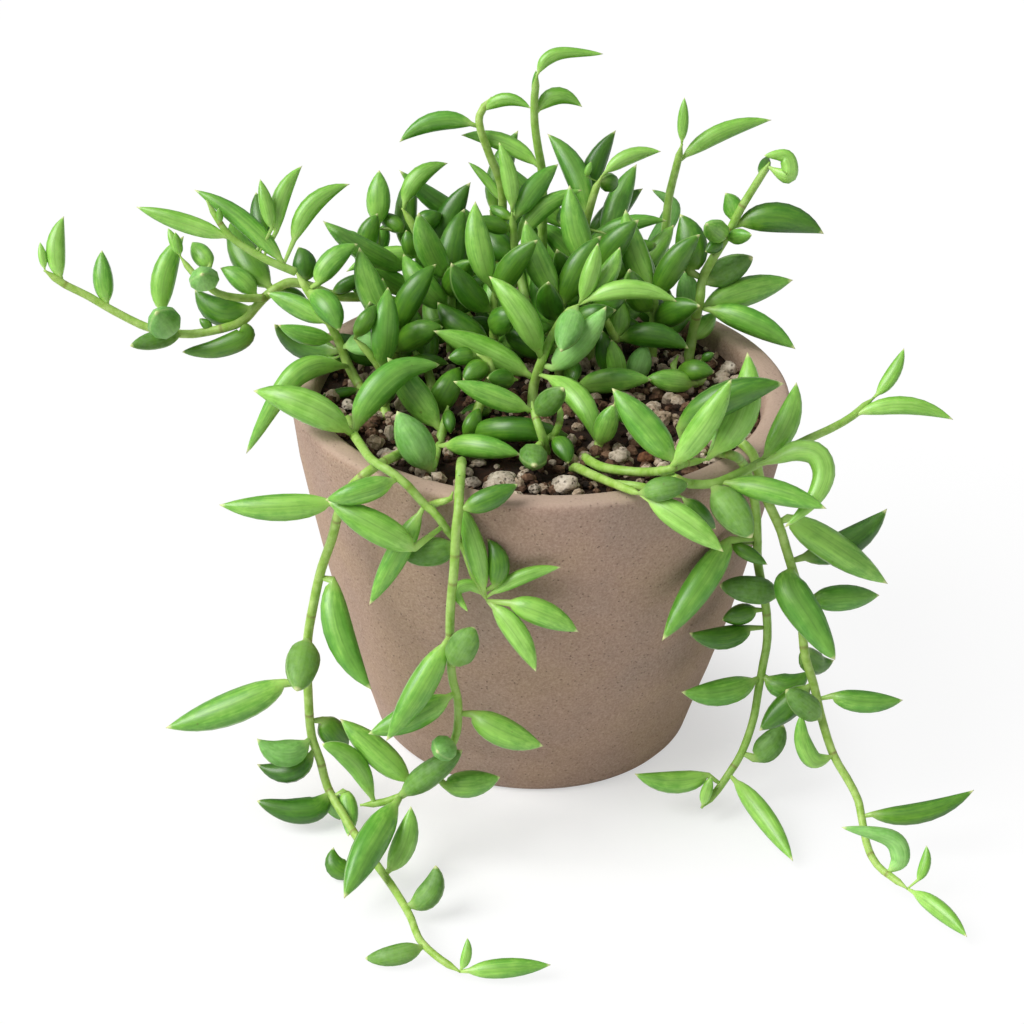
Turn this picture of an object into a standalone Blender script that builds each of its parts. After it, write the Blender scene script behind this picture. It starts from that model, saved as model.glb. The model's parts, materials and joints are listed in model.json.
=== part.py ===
"""Potted string of bananas: a trailing plant with banana-shaped leaves in a small tapered pot.

Frame: metres, +Z up, origin at the centre of the pot's flat base, the front of the plant towards -Y.
The vines are laid out on a sketch plane that stands in front of the pot, square to an inclined view:
u runs right, v runs up and w is the depth of a point towards the designer's eye, all in millimetres.
"""

import math

import bmesh
import bpy
import numpy as np
from mathutils import Vector

MM = 0.001

# Pot, turned about Z: (radius, height) up the outside from the foot to the lip.
POT_HEIGHT = 95.5
POT_RIM_RADIUS = 62.5
POT_OUTSIDE = [
    (38.6, 0.0), (40.4, 0.5), (41.6, 2.0), (44.2, 11.0), (43.9, 12.0), (44.7, 13.0),
    (47.2, 21.0), (51.4, 36.0), (54.6, 50.0), (57.9, 66.0), (60.6, 80.0), (62.1, 92.0),
    (62.4, 94.2), (61.6, 95.3),
]
POT_INSIDE = [(57.4, 95.5), (56.2, 94.8), (55.6, 92.5), (53.6, 79.0), (38.5, 6.0)]
POT_SEGMENTS = 40
SOIL_TOP = 91.0
SOIL_FLOOR = 6.3
SOIL_REACH = 51.5
GAP = 0.3

# Sketch plane: the view looks down by VIEW_PITCH and leans by VIEW_ROLL; its middle lies at the rim.
VIEW_PITCH = math.radians(29.3)
VIEW_ROLL = math.radians(1.2)
EYE_DISTANCE = 600.0
EYE_ASIDE = 6.4
EYE_BELOW = 32.2

# Stems and leaves.
STEM_SIDES = 4
LEAF_SIDES = 4
STEM_STEP = 13.0
STEM_RADIUS = 1.35
PETIOLE_RADIUS = 0.65
PETIOLE_FROM = 2.5
LEAF_REACH = 36.0
STUBBY = [(0.0, 0.5), (0.4, 1.0), (1.0, 0.0)]
STUBBY_BELOW = 13.0
PLUMP = [(0.0, 0.45), (0.2, 0.92), (0.5, 1.0), (0.8, 0.68), (1.0, 0.0)]
BLUNT = [(0.0, 0.6), (0.22, 0.95), (0.8, 0.85), (1.0, 0.0)]
HOOKED = [(0.0, 0.5), (0.14, 0.85), (0.34, 1.0), (0.56, 0.95), (0.78, 0.68), (1.0, 0.0)]

# Settling: how the vines make room for each other along the line of sight.
SETTLE_ROUNDS = 300
FREE_ROUNDS = 120
BALL_STEP = 2.6
CLEARANCE = 0.55
SLIMMEST = 0.5

# Each vine: its stems as (u, v, w) points from the soil outwards, its branches, and its leaves as
# (base u, base v, tip u, tip v, width, bow, swing in depth, tint, points that a hooked leaf passes).
VINES = {
    "vine_left_arm": {
        "stem": [
            (-22, 41, -37), (-25, 50, -33), (-33, 53.5, -29), (-44, 54, -25), (-52, 57, -22),
            (-57, 57, -21), (-62, 53.5, -20), (-67, 48, -20), (-72, 46, -20), (-80, 44.5, -20),
            (-86, 45, -20), (-92, 46.5, -20), (-100, 50.5, -19), (-106, 54, -18), (-112, 57, -17),
            (-117, 60.5, -16),
        ],
        "branches": [[(-62, 53.5, -20), (-68, 53.5, -17), (-73, 54.5, -15), (-76, 56.5, -15),
                      (-80, 60, -15), (-83, 64, -15)]],
        "leaves": [
            (-117, 60, -118, 67.5, 2, 0, 0, "light"),
            (-112, 57.5, -112, 74, 4.5, 2, 0, "light"),
            (-100.5, 52, -102.5, 65.5, 5, 0.5, 0, "mid"),
            (-85, 46, -89, 50, 8, 0, 16, "glaucous"),
            (-82, 44.5, -95.5, 41.5, 4.5, 0, 8, "blunt"),
            (-87.5, 50.5, -82, 69, 6, 2, 0, "mid"),
            (-67, 46.5, -82.5, 40, 5.5, 2.5, 0, "dark", [(-66.8, 44), (-74, 40.8)]),
            (-75, 46.7, -78.2, 48.4, 2.3, 0, 0, "dark"),
            (-63.5, 51.5, -79.3, 56, 7, 4, 0, "dark"),
            (-76, 57.5, -77.5, 59.5, 7.2, 0, 16, "glaucous"),
            (-75.5, 61.5, -80, 67.5, 5, 0, -6, "mid"),
            (-63, 55.5, -73, 61, 5, -1, 0, "mid"),
            (-60, 56, -70.3, 73, 7.8, 1.6, -8, "dark"),
            (-58, 54.5, -50.5, 51, 5, 0, -6, "dark"),
            (-52, 57, -53.5, 66.3, 6, -1, 0, "dark"),
            (-45, 56, -36, 59.5, 3.5, 0, 0, "dark"),
            (-38, 54.5, -38.5, 60.5, 4, 0, 0, "mid"),
            (-28, 55.5, -34.5, 59.5, 3.5, 0, 0, "dark"),
            (-83, 64, -86, 71, 2.5, 0, 0, "light"),
            (-83, 64, -84.2, 70, 2.2, 0, 4, "light"),
        ],
    },
    "vine_left_shoot": {
        "stem": [(-35.5, 28, -12), (-39, 33, -9.5), (-41.5, 38, -7), (-43, 42, -5), (-46, 48, -2),
                 (-49, 52, 0), (-51.5, 56, 1.5), (-54, 60, 3)],
        "branches": [[(-54, 60, 3), (-59, 62, 4), (-64, 64.5, 5), (-70, 68.5, 6), (-73.5, 73, 7),
                      (-76.4, 78, 8)]],
        "leaves": [
            (-73, 72, -73.4, 76, 1.8, 0, 2, "light"),
            (-70, 67.5, -94, 76.3, 4.5, 0, 0, "light"),
            (-56, 61, -79.5, 80.6, 5, -2, 0, "mid"),
            (-54.5, 68, -40.5, 82, 5, 3, 0, "light"),
            (-59, 70, -52.4, 86.6, 4.5, 2, 0, "light"),
            (-60, 71, -63, 83.3, 3.5, 0, 3, "light"),
            (-62, 68, -64, 80, 5, 0, -6, "dark"),
            (-48.7, 57, -38.5, 67, 5.5, 1.5, 0, "mid"),
            (-49.5, 56.5, -43.2, 45.2, 6.5, 1.5, 6, "mid"),
            (-44, 43.3, -58.5, 46.8, 4.5, 1, 6, "mid"),
            (-43, 40, -59.5, 47, 7.5, 2, -6, "dark"),
            (-47, 46, -61.3, 54.8, 5.5, -0.5, -2, "mid"),
            (-41.5, 41.5, -29.8, 40.2, 6, 1.5, 4, "glaucous"),
            (-41, 36.3, -66.5, 14.5, 6, 0, 4, "mid", [(-50, 36.3), (-57, 31)]),
            (-47, 37.5, -42, 37, 3.5, 0, -5, "mid"),
            (-38, 30.3, -48, 28.8, 2.5, 0, 0, "dark"),
        ],
    },
    "vine_front_left": {
        "stem": [
            (-41, 23.5, 1), (-40.2, 20.5, 19), (-38, 17, 33), (-35, 13, 49),
            (-30, 9.8, 52), (-26, 6.5, 52), (-22, 2, 49), (-19, -0.5, 49), (-17, -3.5, 49),
            (-14.5, -6.5, 46.5), (-12, -9, 46), (-9.5, -16, 44), (-6, -22.5, 43),
        ],
        "branches": [[(-21, 1.3, 47), (-19, 2.2, 47), (-15.5, 3.2, 46), (-14.8, 5, 46)]],
        "leaves": [
            (-39.3, 18.8, -64.7, 30.3, 7.8, -2, 0, "light"),
            (-39.5, 19.5, -18, 36.8, 7.5, 0, -6, "mid", [(-37, 26), (-32, 32.3), (-26, 36)]),
            (-29, 7.5, -46.7, 3, 6, 0.5, 2, "mid"),
            (-24.5, -9, -46.2, 2.9, 7.5, 0, 5, "light"),
            (-22.5, 1, -35.7, -23.3, 6, 0, -4, "mid"),
            (-14, -9, -28.3, -10.2, 7, 1, 0, "blunt"),
            (-7, -21.5, -13.2, 3, 5.2, -0.6, 6, "light"),
            (-4.5, -18.5, -6.2, -6.7, 5.5, -2, 0, "dark"),
            (-5, -20.6, 12.3, -13.8, 3.8, 1.5, 2, "light"),
            (-4.7, -24, 6, -40, 5.5, 1.5, 0, "light"),
            (-0.5, -22.8, 16.6, -30, 6.5, 0.8, 0, "mid"),
            (-8.5, -22, -11, -25, 3.2, 0, 4, "light", [(-10.5, -18.3), (-14, -20)]),
        ],
    },
    "vine_long_left": {
        "stem": [
            (-21, 17.5, 6), (-27, 15, 25), (-32.5, 12.3, 36), (-37, 9.3, 44), (-41, 5.3, 42),
            (-43.3, 0, 40), (-45, -6.6, 35), (-47.8, -14.8, 30), (-49.6, -23, 26), (-51, -31, 22),
            (-51.2, -38, 18), (-51, -44.5, 15), (-50.2, -55.4, 9), (-48, -62, 7), (-46, -69, 6),
            (-42, -76, 10), (-38.3, -82, 16), (-33.2, -89, 25), (-29, -95, 33), (-25.5, -101, 40),
            (-23, -107, 46), (-18.3, -111.5, 51), (-12.9, -115, 54.5),
        ],
        "leaves": [
            (-45.5, 2.3, -73.3, 1.8, 6.8, 1, 0, "mid"),
            (-44.8, -17, -35, -44.5, 7.3, -3, 4, "mid"),
            (-51, -31, -53.8, -44.8, 8.5, 0, 12, "blunt"),
            (-57, -42.8, -86.7, -54, 7.8, 1.2, 0, "mid"),
            (-47.5, -52, -41, -59.5, 6.5, 0, -8, "dark"),
            (-51, -56.5, -63.8, -56.6, 7, 4, 6, "glaucous"),
            (-50, -59, -63.8, -63, 6, 4, -2, "dark"),
            (-46, -70, -63.8, -72.2, 6.3, 2.5, 2, "dark", [(-49, -74), (-56, -74.6)]),
            (-45.5, -69.5, -43, -77, 4.8, 0, -5, "glaucous"),
            (-42, -69.5, -41, -81.2, 4.5, 0.8, 5, "mid"),
            (-39.5, -90, -44.6, -83.8, 5.5, 2.5, 0, "dark"),
            (-30.9, -90.2, -25.3, -73.5, 6, -1.8, 0, "light"),
            (-26.5, -98.5, -19.1, -88.3, 6, -3, 0, "blunt"),
            (-22, -108.8, -36.7, -111.6, 5.5, 0.8, 0, "blunt"),
            (-11.7, -114, -11.2, -106.4, 2.6, -0.8, 0, "light"),
            (-11.5, -115, 9.8, -113.2, 5, 0, 0, "mid"),
        ],
    },
    "vine_middle": {
        "stem": [
            (-12.6, 12.8, 28), (-12.8, 11, 39.5), (-12.9, 8.5, 47.5), (-13.2, 4.7, 54), (-13.3, 1, 56.5),
            (-14, -5, 55), (-14.5, -14.4, 52), (-15.3, -22.7, 48), (-15.5, -31, 44), (-15, -41, 38),
            (-13.5, -47.5, 34), (-14, -55.8, 29), (-17.4, -61.6, 26), (-22, -66.5, 24),
            (-26, -70, 23), (-29, -71.5, 22), (-33, -72.7, 22), (-38, -73.3, 22),
        ],
        "leaves": [
            (-13.4, 0.5, 1.5, 7, 5.8, -0.5, 0, "dark"),
            (-16.3, -31, -31.5, -57.3, 7, 0.5, 0, "mid"),
            (-16, -38.5, -9.4, -28.8, 8, 0, 8, "blunt"),
            (-16.3, -45.6, -36, -55.5, 6.8, 0.8, 2, "mid"),
            (-10, -50.5, 7.9, -58.5, 7, -1, 0, "mid"),
            (-17.5, -57, -18.8, -60, 6.8, 0, 12, "glaucous"),
            (-17, -68, -2.9, -66.2, 6.5, -0.8, 0, "mid"),
            (-25.8, -66.8, -43, -51.7, 6.8, 0, 2, "mid"),
            (-34.5, -71.3, -47.5, -58, 5.5, 0, 8, "light", [(-38, -64.5), (-42.5, -60)]),
            (-28.3, -72, -12.4, -59.5, 6.5, 0, 6, "blunt"),
            (-26.5, -73, -42, -96.7, 7.8, -0.8, 16, "mid"),
        ],
    },
    "shoot_centre_front": {
        "stem": [(5, 26, -3), (5.5, 32, 1), (7.5, 38, 5), (10, 44, 8), (13.5, 49.5, 10),
                 (17, 52, 11)],
        "leaves": [
            (4.8, 33.5, -19.7, 45.3, 7, -1, 4, "light"),
            (7.5, 38, -5.8, 59, 6.5, -2, 4, "light"),
            (9.5, 33.5, 21, 17, 6, 3, 6, "light"),
            (10, 36, 23.6, 51.5, 7, -1, 6, "glaucous"),
            (17, 52, 41.4, 52.5, 4.6, 3.5, 0, "light"),
            (17.2, 52, 21.5, 67.3, 4.5, -0.5, 3, "light"),
            (19.5, 54, 27, 66.3, 5, -1, 0, "mid"),
            (16, 51.8, 12.2, 40, 6.5, 0, 10, "glaucous"),
        ],
    },
    "shoot_front": {
        "stem": [(8.5, 14.8, 22), (8, 17.5, 23), (7, 20.5, 25.5), (5.5, 25, 25), (5, 27.5, 24)],
        "branches": [
            [(8, 17.6, 23), (6.4, 16.6, 25), (5, 16, 26.5)],
            [(8, 17.8, 23), (10.5, 19.2, 24), (12, 23, 24), (12, 27, 23)],
        ],
        "leaves": [
            (4.5, 24.8, -14.7, 32.7, 5.8, 0, 4, "mid"),
            (5.3, 24, 13, 31, 6, 0, 10, "blunt"),
            (5, 16, 5.6, 11.5, 7, 0, 16, "blunt"),
            (10, 18, 14, 12, 5.0, 1.2, 5, "dark"),
        ],
    },
    "shoot_low_left": {
        "stem": [(-18, 18, 5), (-17, 22, 12), (-16, 26.5, 13)],
        "branches": [[(-17.8, 19.4, 9.5), (-18.9, 14, 19), (-20, 9.5, 28)]],
        "leaves": [
            (-17, 19.8, -31.2, 38.7, 7.2, 0, 4, "mid"),
            (-20.5, 7.5, -28.8, 25.3, 8.6, 0, 6, "glaucous"),
            (-18.6, 16.6, 2.2, 14.2, 6, 1, 10, "mid"),
            (-16, 26, -15.3, 19.5, 3, 0, 3, "dark"),
        ],
    },
    "shoot_left": {
        "stem": [(-31.5, 24, -5), (-32, 30, -2), (-32.5, 35, 0), (-36, 40, 2), (-39.5, 43.5, 3)],
        "leaves": [
            (-32, 25, -28, 36, 6.8, 2, 4, "dark"),
            (-32.3, 35, -31, 56.3, 7, 0, 4, "mid"),
            (-40, 44, -34, 51.8, 4.5, 0, 0, "dark"),
        ],
    },
    "shoot_inner_left": {
        "stem": [(-20, 30, -14), (-20.5, 34, -11), (-23, 38, -9), (-25, 41, -8)],
        "leaves": [
            (-19.5, 25, -13, 36.3, 7, 0, 4, "dark"),
            (-27.5, 35, -15.7, 37, 4.5, 1.5, 0, "dark"),
            (-19.5, 37, -21, 48, 6, 0, 0, "dark"),
            (-25, 41, -24, 50.5, 5.5, 0, 0, "dark"),
        ],
    },
    "shoot_inner_front": {
        "stem": [(-10, 22, 1), (-8, 27, 3), (-6, 32, 5), (-5, 37, 7), (-9, 39.5, 8)],
        "branches": [[(-6, 32, 5), (-2, 33.5, 6), (1.5, 33, 7)]],
        "leaves": [
            (-11, 19.8, 15, 18.6, 6.5, 1.5, 0, "dark"),
            (-6, 37.5, -12.3, 33, 5.5, 0, 4, "dark"),
            (1, 33, -6.3, 33.5, 5, 0, 8, "dark"),
            (-10, 39, -16, 38.5, 4.5, 0, 2, "dark"),
            (-5, 26, -13, 24.8, 4, 0, 2, "dark"),
            (-11.5, 19, -8, 26, 4, 0, 2, "dark"),
        ],
    },
    "shoot_inner_back": {
        "stem": [(-1, 42, -40), (-1, 48, -36), (-1.5, 54.5, -31)],
        "leaves": [
            (-1.5, 54.5, -23.3, 46.3, 5.3, -3.5, 4, "light"),
            (-1.5, 46, -9.5, 50.3, 5, 0, 2, "dark"),
            (-2, 44, 1.5, 44.5, 6, 0, 14, "dark"),
            (-4, 46, -12, 47.5, 4.6, 0, 12, "dark"),
            (3, 39, -4.5, 44.8, 4, 0, 4, "dark"),
        ],
    },
    "shoot_inner_right": {
        "stem": [(16, 42, -40), (17, 49, -36), (19, 56, -31)],
        "leaves": [
            (19, 56, 6, 50.5, 7, 0, 4, "dark"),
            (12, 44, 13, 51, 4, 0, 3, "dark"),
            (14.5, 37, 16, 32.5, 5, 0, 7, "dark"),
        ],
    },
    "shoot_right": {
        "stem": [(24, 32, -19), (25, 37.5, -13), (26, 43, -9)],
        "branches": [[(26, 43, -9), (24, 47, -7), (22.5, 51, -5)]],
        "leaves": [
            (25.8, 43, 27, 54.2, 5.8, 0, 2, "light"),
            (26.3, 43.3, 44.2, 40.8, 6.2, 2.5, 4, "dark"),
            (27, 32.5, 24.8, 43.2, 4.8, 0, 7, "light"),
            (22, 33, 22.5, 45.5, 5, 0, 3, "dark"),
            (30.5, 33, 33.5, 42, 6, 0, 2, "glaucous"),
            (17, 31.5, 35, 33, 6, 0.8, 9, "mid"),
        ],
    },
    "shoot_right_low": {
        "stem": [(44, 31, -17), (42, 34, -14), (40, 35.5, -12), (41.5, 39, -11)],
        "branches": [
            [(43.2, 32.3, -15.5), (46, 34.8, -13), (47.2, 38, -12)],
            [(43.2, 32.3, -15.5), (46.4, 32, -13), (48.5, 33.3, -12)],
        ],
        "leaves": [
            (46.5, 30, 33.5, 33.6, 5.8, 0, 6, "mid"),
            (41, 35.3, 50.6, 34.8, 5.3, 0.6, 5, "dark"),
            (47.2, 38, 50.6, 39.7, 2.2, 0, 2, "dark"),
        ],
    },
    "shoot_front_right": {
        "stem": [(21, 15, 12), (22.5, 19, 15), (25, 24, 18), (26, 28, 20)],
        "leaves": [
            (20.5, 15, 25.5, 27, 6, 0, 6, "mid"),
            (26, 28, 30, 21.5, 4, 0, 5, "dark"),
        ],
    },
    "shoot_tallest": {
        "stem": [(8, 44, -45), (7.5, 60, -36), (7.7, 75, -27), (7.5, 85, -22), (6.5, 91, -18),
                 (5.7, 97, -15), (5.6, 103, -12), (6.3, 109.5, -9)],
        "leaves": [
            (7, 109.5, 22.9, 114.5, 3.3, 2.5, 0, "light", [(8.5, 113), (13, 114.8)]),
            (7, 99, 17.6, 101.2, 4.2, 4, 0, "light"),
            (7, 85.5, -12.8, 94.2, 4.5, -2.5, 0, "mid"),
            (5.5, 103, 6, 110.5, 1.8, 0, 3, "mid"),
        ],
    },
    "shoot_second": {
        "stem": [(-3, 45, -46), (-2.8, 62, -37), (-2.5, 80, -28), (-5.5, 89, -23), (-8, 96, -19),
                 (-7.8, 100, -18), (-5, 103.7, -17)],
        "leaves": [
            (-7.3, 99.5, 4.8, 100.8, 3.2, 3, 4, "light"),
            (-9.5, 96, -28.2, 92.4, 4.8, -3.5, 0, "mid"),
            (-3, 77, -11, 87.5, 2.4, -0.8, 0, "light"),
        ],
    },
    "shoot_centre_back": {
        "stem": [(5, 39, -34), (3.8, 50, -27), (2.5, 57, -23), (1, 64, -19), (0.3, 70, -15),
                 (0, 75, -12)],
        "leaves": [
            (0, 75, -3.3, 92.5, 4.2, -1, 3, "light"),
            (0.7, 66.5, 17.6, 80.5, 4.8, 2.8, 0, "mid"),
            (2.5, 72.5, 11.6, 87, 5.5, 1, -3, "mid"),
            (6, 53, 4.3, 68.5, 6.8, -1, 3, "mid"),
            (0, 70, -9.5, 73.5, 4, 0, 4, "dark"),
            (0, 62, -8.8, 71.3, 7, 0, -4, "dark"),
            (-0.5, 73, -5.7, 76.5, 3, 0, -3, "dark"),
        ],
    },
    "shoot_back_centre": {
        "stem": [(15, 44, -44), (15.5, 55, -38), (16.5, 62, -33), (18, 70, -28), (19.5, 76, -25),
                 (21, 81, -22), (22.5, 84, -21)],
        "leaves": [
            (22.5, 84, 37.3, 90.1, 3.8, 2, 0, "light"),
            (17.5, 73, 8.8, 94.6, 6, -2.5, -5, "mid"),
            (17.5, 64, 38.8, 72.8, 4.5, 3, 4, "mid"),
            (14.3, 60, 5.5, 72, 5.5, -2, 3, "mid"),
            (10, 56.5, 21, 62.5, 4, 0, 8, "dark"),
            (36, 66.5, 25, 66.3, 3.5, 0, 0, "dark"),
            (23.5, 68, 31.2, 87, 6, 0.8, -4, "mid"),
            (20, 83.5, 24.8, 79.8, 4.5, 1.5, -7, "dark"),
            (18.5, 84, 19.8, 87.6, 1.7, 0, 2, "light"),
            (12, 72, 15, 77, 4, 0, -8, "dark"),
        ],
    },
    "shoot_back_left": {
        "stem": [(-14, 44, -43), (-15.5, 55, -37), (-18, 60, -34), (-22, 66, -31), (-25, 72, -28),
                 (-27.5, 76, -26)],
        "leaves": [
            (-27.8, 75, -16, 87.2, 4.5, 3, 0, "light"),
            (-22.5, 62.8, -41.5, 60, 4.2, -2.2, 5, "light"),
            (-17.4, 61, -10.3, 82.5, 6.5, 2, 3, "dark"),
            (-11, 56.5, -13.7, 70.7, 6.8, 0, 6, "mid"),
            (-13.5, 57, -13.5, 59.5, 7.6, 0, 14, "dark"),
            (-15, 56, -23.4, 52.8, 5, -1.5, 6, "glaucous"),
            (-19, 57, -22.5, 56, 5, 0, 14, "dark"),
            (-25.5, 71, -17.5, 74.5, 5, 0, -4, "dark"),
            (-25, 64, -26.5, 70.5, 4, 0, 4, "dark"),
        ],
    },
    "shoot_far_left": {
        "stem": [(-29, 43, -44), (-30.5, 48, -41), (-33, 56, -36), (-34, 64, -31), (-33.5, 72, -27)],
        "leaves": [
            (-35, 71, -33.2, 85.5, 5.6, 0, 2, "mid"),
            (-36.5, 63.5, -33.5, 74.7, 5.6, 1, 4, "dark"),
            (-27, 70.5, -33.5, 74.5, 4, 0, -4, "dark"),
            (-37.5, 67.5, -42, 70.4, 2.6, 0, 0, "mid"),
            (-32, 64, -31.5, 72.2, 4.2, 0, -4, "mid"),
        ],
    },
    "shoot_tall_right": {
        "stem": [(36, 46, -48), (37.5, 60, -40), (38.5, 72, -34), (39.3, 79, -30), (41, 86, -26),
                 (42.5, 92, -23)],
        "leaves": [
            (43, 93.5, 43.1, 103.7, 2.7, 0, 3, "light"),
            (42, 87, 65, 98, 4.2, 2.5, 0, "light"),
        ],
    },
    "shoot_back_right": {
        "stem": [(29, 44, -44), (29.8, 53, -38), (31, 59, -34)],
        "leaves": [
            (31, 59, 40.5, 71.8, 4.8, 0, 2, "light"),
            (34, 66, 35, 80.6, 4.5, 0, -3, "glaucous", [(38.5, 72), (40, 77)]),
            (30, 54, 41, 46, 7, 0, 4, "dark"),
            (31.5, 60, 40, 54.5, 4.5, 0, 6, "dark"),
            (36.5, 56, 38.8, 66.5, 5.5, 0, -4, "glaucous"),
        ],
    },
    "shoot_rear_right": {
        "stem": [(44, 38, -31), (45.5, 46, -27), (47, 53.5, -22), (47.5, 58, -19), (50, 63, -16),
                 (54, 69.5, -13), (57, 75.5, -10), (61, 82, -7), (64.5, 87.5, -5)],
        "leaves": [
            (55.3, 71, 78, 69.5, 7.8, 3.3, 0, "dark"),
            (54.5, 72.5, 53.3, 79.8, 5, -1, 2, "mid"),
            (53.5, 68.5, 48.5, 72, 6, 0, 12, "mid"),
            (53, 68, 48.3, 65, 3.5, 0, 3, "dark"),
            (55, 67.5, 60, 69.3, 4, 0, 7, "mid"),
            (47.3, 57, 60.2, 63.8, 6.8, 0, 3, "blunt"),
            (46.8, 50.5, 70.3, 58, 7.2, 0.8, 0, "mid"),
            (50, 50.5, 70.9, 40.7, 6.3, 1.5, 4, "mid"),
            (46, 42.5, 51, 50, 4.5, 0, -2, "mid"),
            (43.5, 46.8, 43.2, 60.6, 6.6, 0, 6, "glaucous"),
            (44.5, 60, 42, 74.5, 8, -1.5, 2, "dark"),
            (64.5, 86, 63, 89.1, 4, 0, 2, "light", [(69, 84), (68.5, 88.8)]),
            (62, 84, 64, 89, 3, 0, -8, "dark"),
        ],
    },
    "vine_front_right": {
        "stem": [(15.3, 11.5, 20), (20, 9.3, 34), (25.6, 7, 46), (32.5, 4.3, 51.5)],
        "branches": [[(25.6, 7, 46), (31, 6.6, 47), (37, 5.4, 46), (43, 3.6, 44)]],
        "leaves": [
            (32.5, 4.3, 52.9, -10, 7, 0.8, 2, "light"),
            (42.5, 3.8, 51, -4.3, 4.5, 0, -4, "dark"),
            (31.8, 5, 44, 7, 6, 0, -4, "blunt"),
        ],
    },
    "vine_right_rim": {
        "stem": [(17.5, 14, 24), (22, 11.4, 34), (27, 10.4, 39), (33, 10, 42), (39, 10.6, 49),
                 (44, 12.3, 43), (49, 13.2, 39)],
        "leaves": [
            (39.5, 10, 54.9, 33.3, 7, -1, 8, "light"),
            (41, 13.5, 25, 31, 8, 0, 0, "mid"),
            (42, 21, 68.2, 32.1, 8, 2.5, 7, "dark"),
            (49.7, 13.4, 58.8, 40, 8, -4, 4, "light"),
            (50.5, 17.5, 54.5, 27.5, 4.5, 0, -3, "glaucous"),
        ],
    },
    "vine_right_arm": {
        "stem": [
            (37, 10.5, 29), (41, 8.3, 44), (45, 7, 47), (51, 7.3, 47), (58, 10.3, 45),
            (62.5, 12.6, 42), (70, 16.3, 38), (75, 18.7, 36), (80, 21, 34), (85, 23.9, 33),
            (90.5, 28.6, 31),
        ],
        "leaves": [
            (60, 11.3, 68, -4, 5.6, 0, 5, "light",
             [(66, 13.3), (71, 15.3), (76, 14.5), (78, 10), (76.5, 5), (73, 0.5)]),
            (52, 6.5, 78.7, 0.8, 6.3, 1, 6, "mid"),
            (50, 5.3, 60, -6.5, 8.3, 0, 4, "blunt"),
            (61.7, 13, 71.1, 32.5, 6, -2, -4, "light"),
            (85, 23.4, 110.4, 23, 4.5, 3.3, 0, "light"),
            (90.3, 28.8, 98, 41, 3.6, -1, 0, "light"),
        ],
    },
    "vine_right_wall": {
        "stem": [
            (50, 15, 21), (54, 14.5, 33), (57.5, 12.5, 37), (60, 6, 31), (61, 0, 27),
            (61.3, -7, 23), (61.5, -13, 19), (63.5, -24, 13), (63.8, -32, 9), (62.8, -38, 6),
            (61.7, -44, 4), (60.3, -52, 2), (57.5, -60, 1), (54.5, -65, 1), (51, -70, 2),
            (47.3, -74, 3.5),
        ],
        "leaves": [
            (54.5, -7, 37.5, -32.2, 7, 0, 8, "mid"),
            (55, -8, 63.9, -13.2, 3.6, 0, 4, "dark"),
            (66, -20.3, 51.8, -18.3, 7.2, 0, 6, "blunt"),
            (61, -24.5, 52.4, -27, 5, 0, 0, "dark"),
            (59.5, -29, 44.2, -30.2, 5.8, 2, 4, "dark"),
            (61.3, -41, 42.3, -45, 6.5, 2, 6, "mid"),
            (62.8, -40.5, 74.2, -39.6, 6, -3.5, 0, "mid"),
            (60.5, -61.5, 67.7, -53, 7, -1, 2, "blunt"),
            (49, -65.8, 30.6, -65.4, 5.5, 2, 2, "mid"),
            (47.3, -73.6, 49.8, -66, 2.8, 0, 2, "light"),
            (55.4, -66.3, 70.3, -87.4, 5.2, 0.8, 16, "light"),
        ],
    },
    "vine_long_right": {
        "stem": [
            (53, 19, 4), (57, 17.5, 22), (60.5, 14, 30), (62, 8, 30), (64, 2.5, 29),
            (67, -4, 27), (68.5, -9, 25), (70, -14, 23), (72, -21, 20), (72.5, -28, 18),
            (73.3, -36, 16), (75.4, -43, 14), (77, -50, 12), (79, -57, 11), (81, -62, 11),
            (84, -67, 12), (86.5, -72, 13), (87.7, -78, 16), (89, -84, 20), (91.5, -88.5, 24),
            (95, -91.3, 27), (99, -94.3, 30),
        ],
        "leaves": [
            (69, -1.5, 94, -18, 7.5, 0, -6, "mid"),
            (73, -11.3, 93.8, 0.9, 7, -2.5, 0, "dark"),
            (75, -22, 91.9, -20.8, 6.8, 0, -4, "mid"),
            (69.3, -14, 80.8, -37, 8.5, 0, 6, "mid", [(69.5, -19), (75, -28)]),
            (72.5, -33, 80.5, -37, 6, -3, -6, "dark"),
            (80, -46, 97.8, -47, 5.8, -1, 0, "mid"),
            (73, -43.5, 61.8, -54.7, 6.2, 0, 0, "dark"),
            (79, -51.5, 68.4, -44.4, 6.3, 0, 6, "blunt"),
            (79, -61.5, 72.3, -50.5, 4.5, 0, 4, "mid", [(75.5, -62), (72.6, -57)]),
            (90, -75.6, 115.6, -69.4, 5.2, -2.5, 0, "dark"),
            (94, -90, 82.3, -78.8, 5, 0, 4, "glaucous", [(97, -86.5), (94.5, -81.5)]),
            (101.5, -92, 103.6, -83.3, 2.7, -0.8, 0, "light"),
            (99.5, -94.6, 113.8, -106.3, 4.4, 1, 12, "light"),
        ],
    },
}

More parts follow.
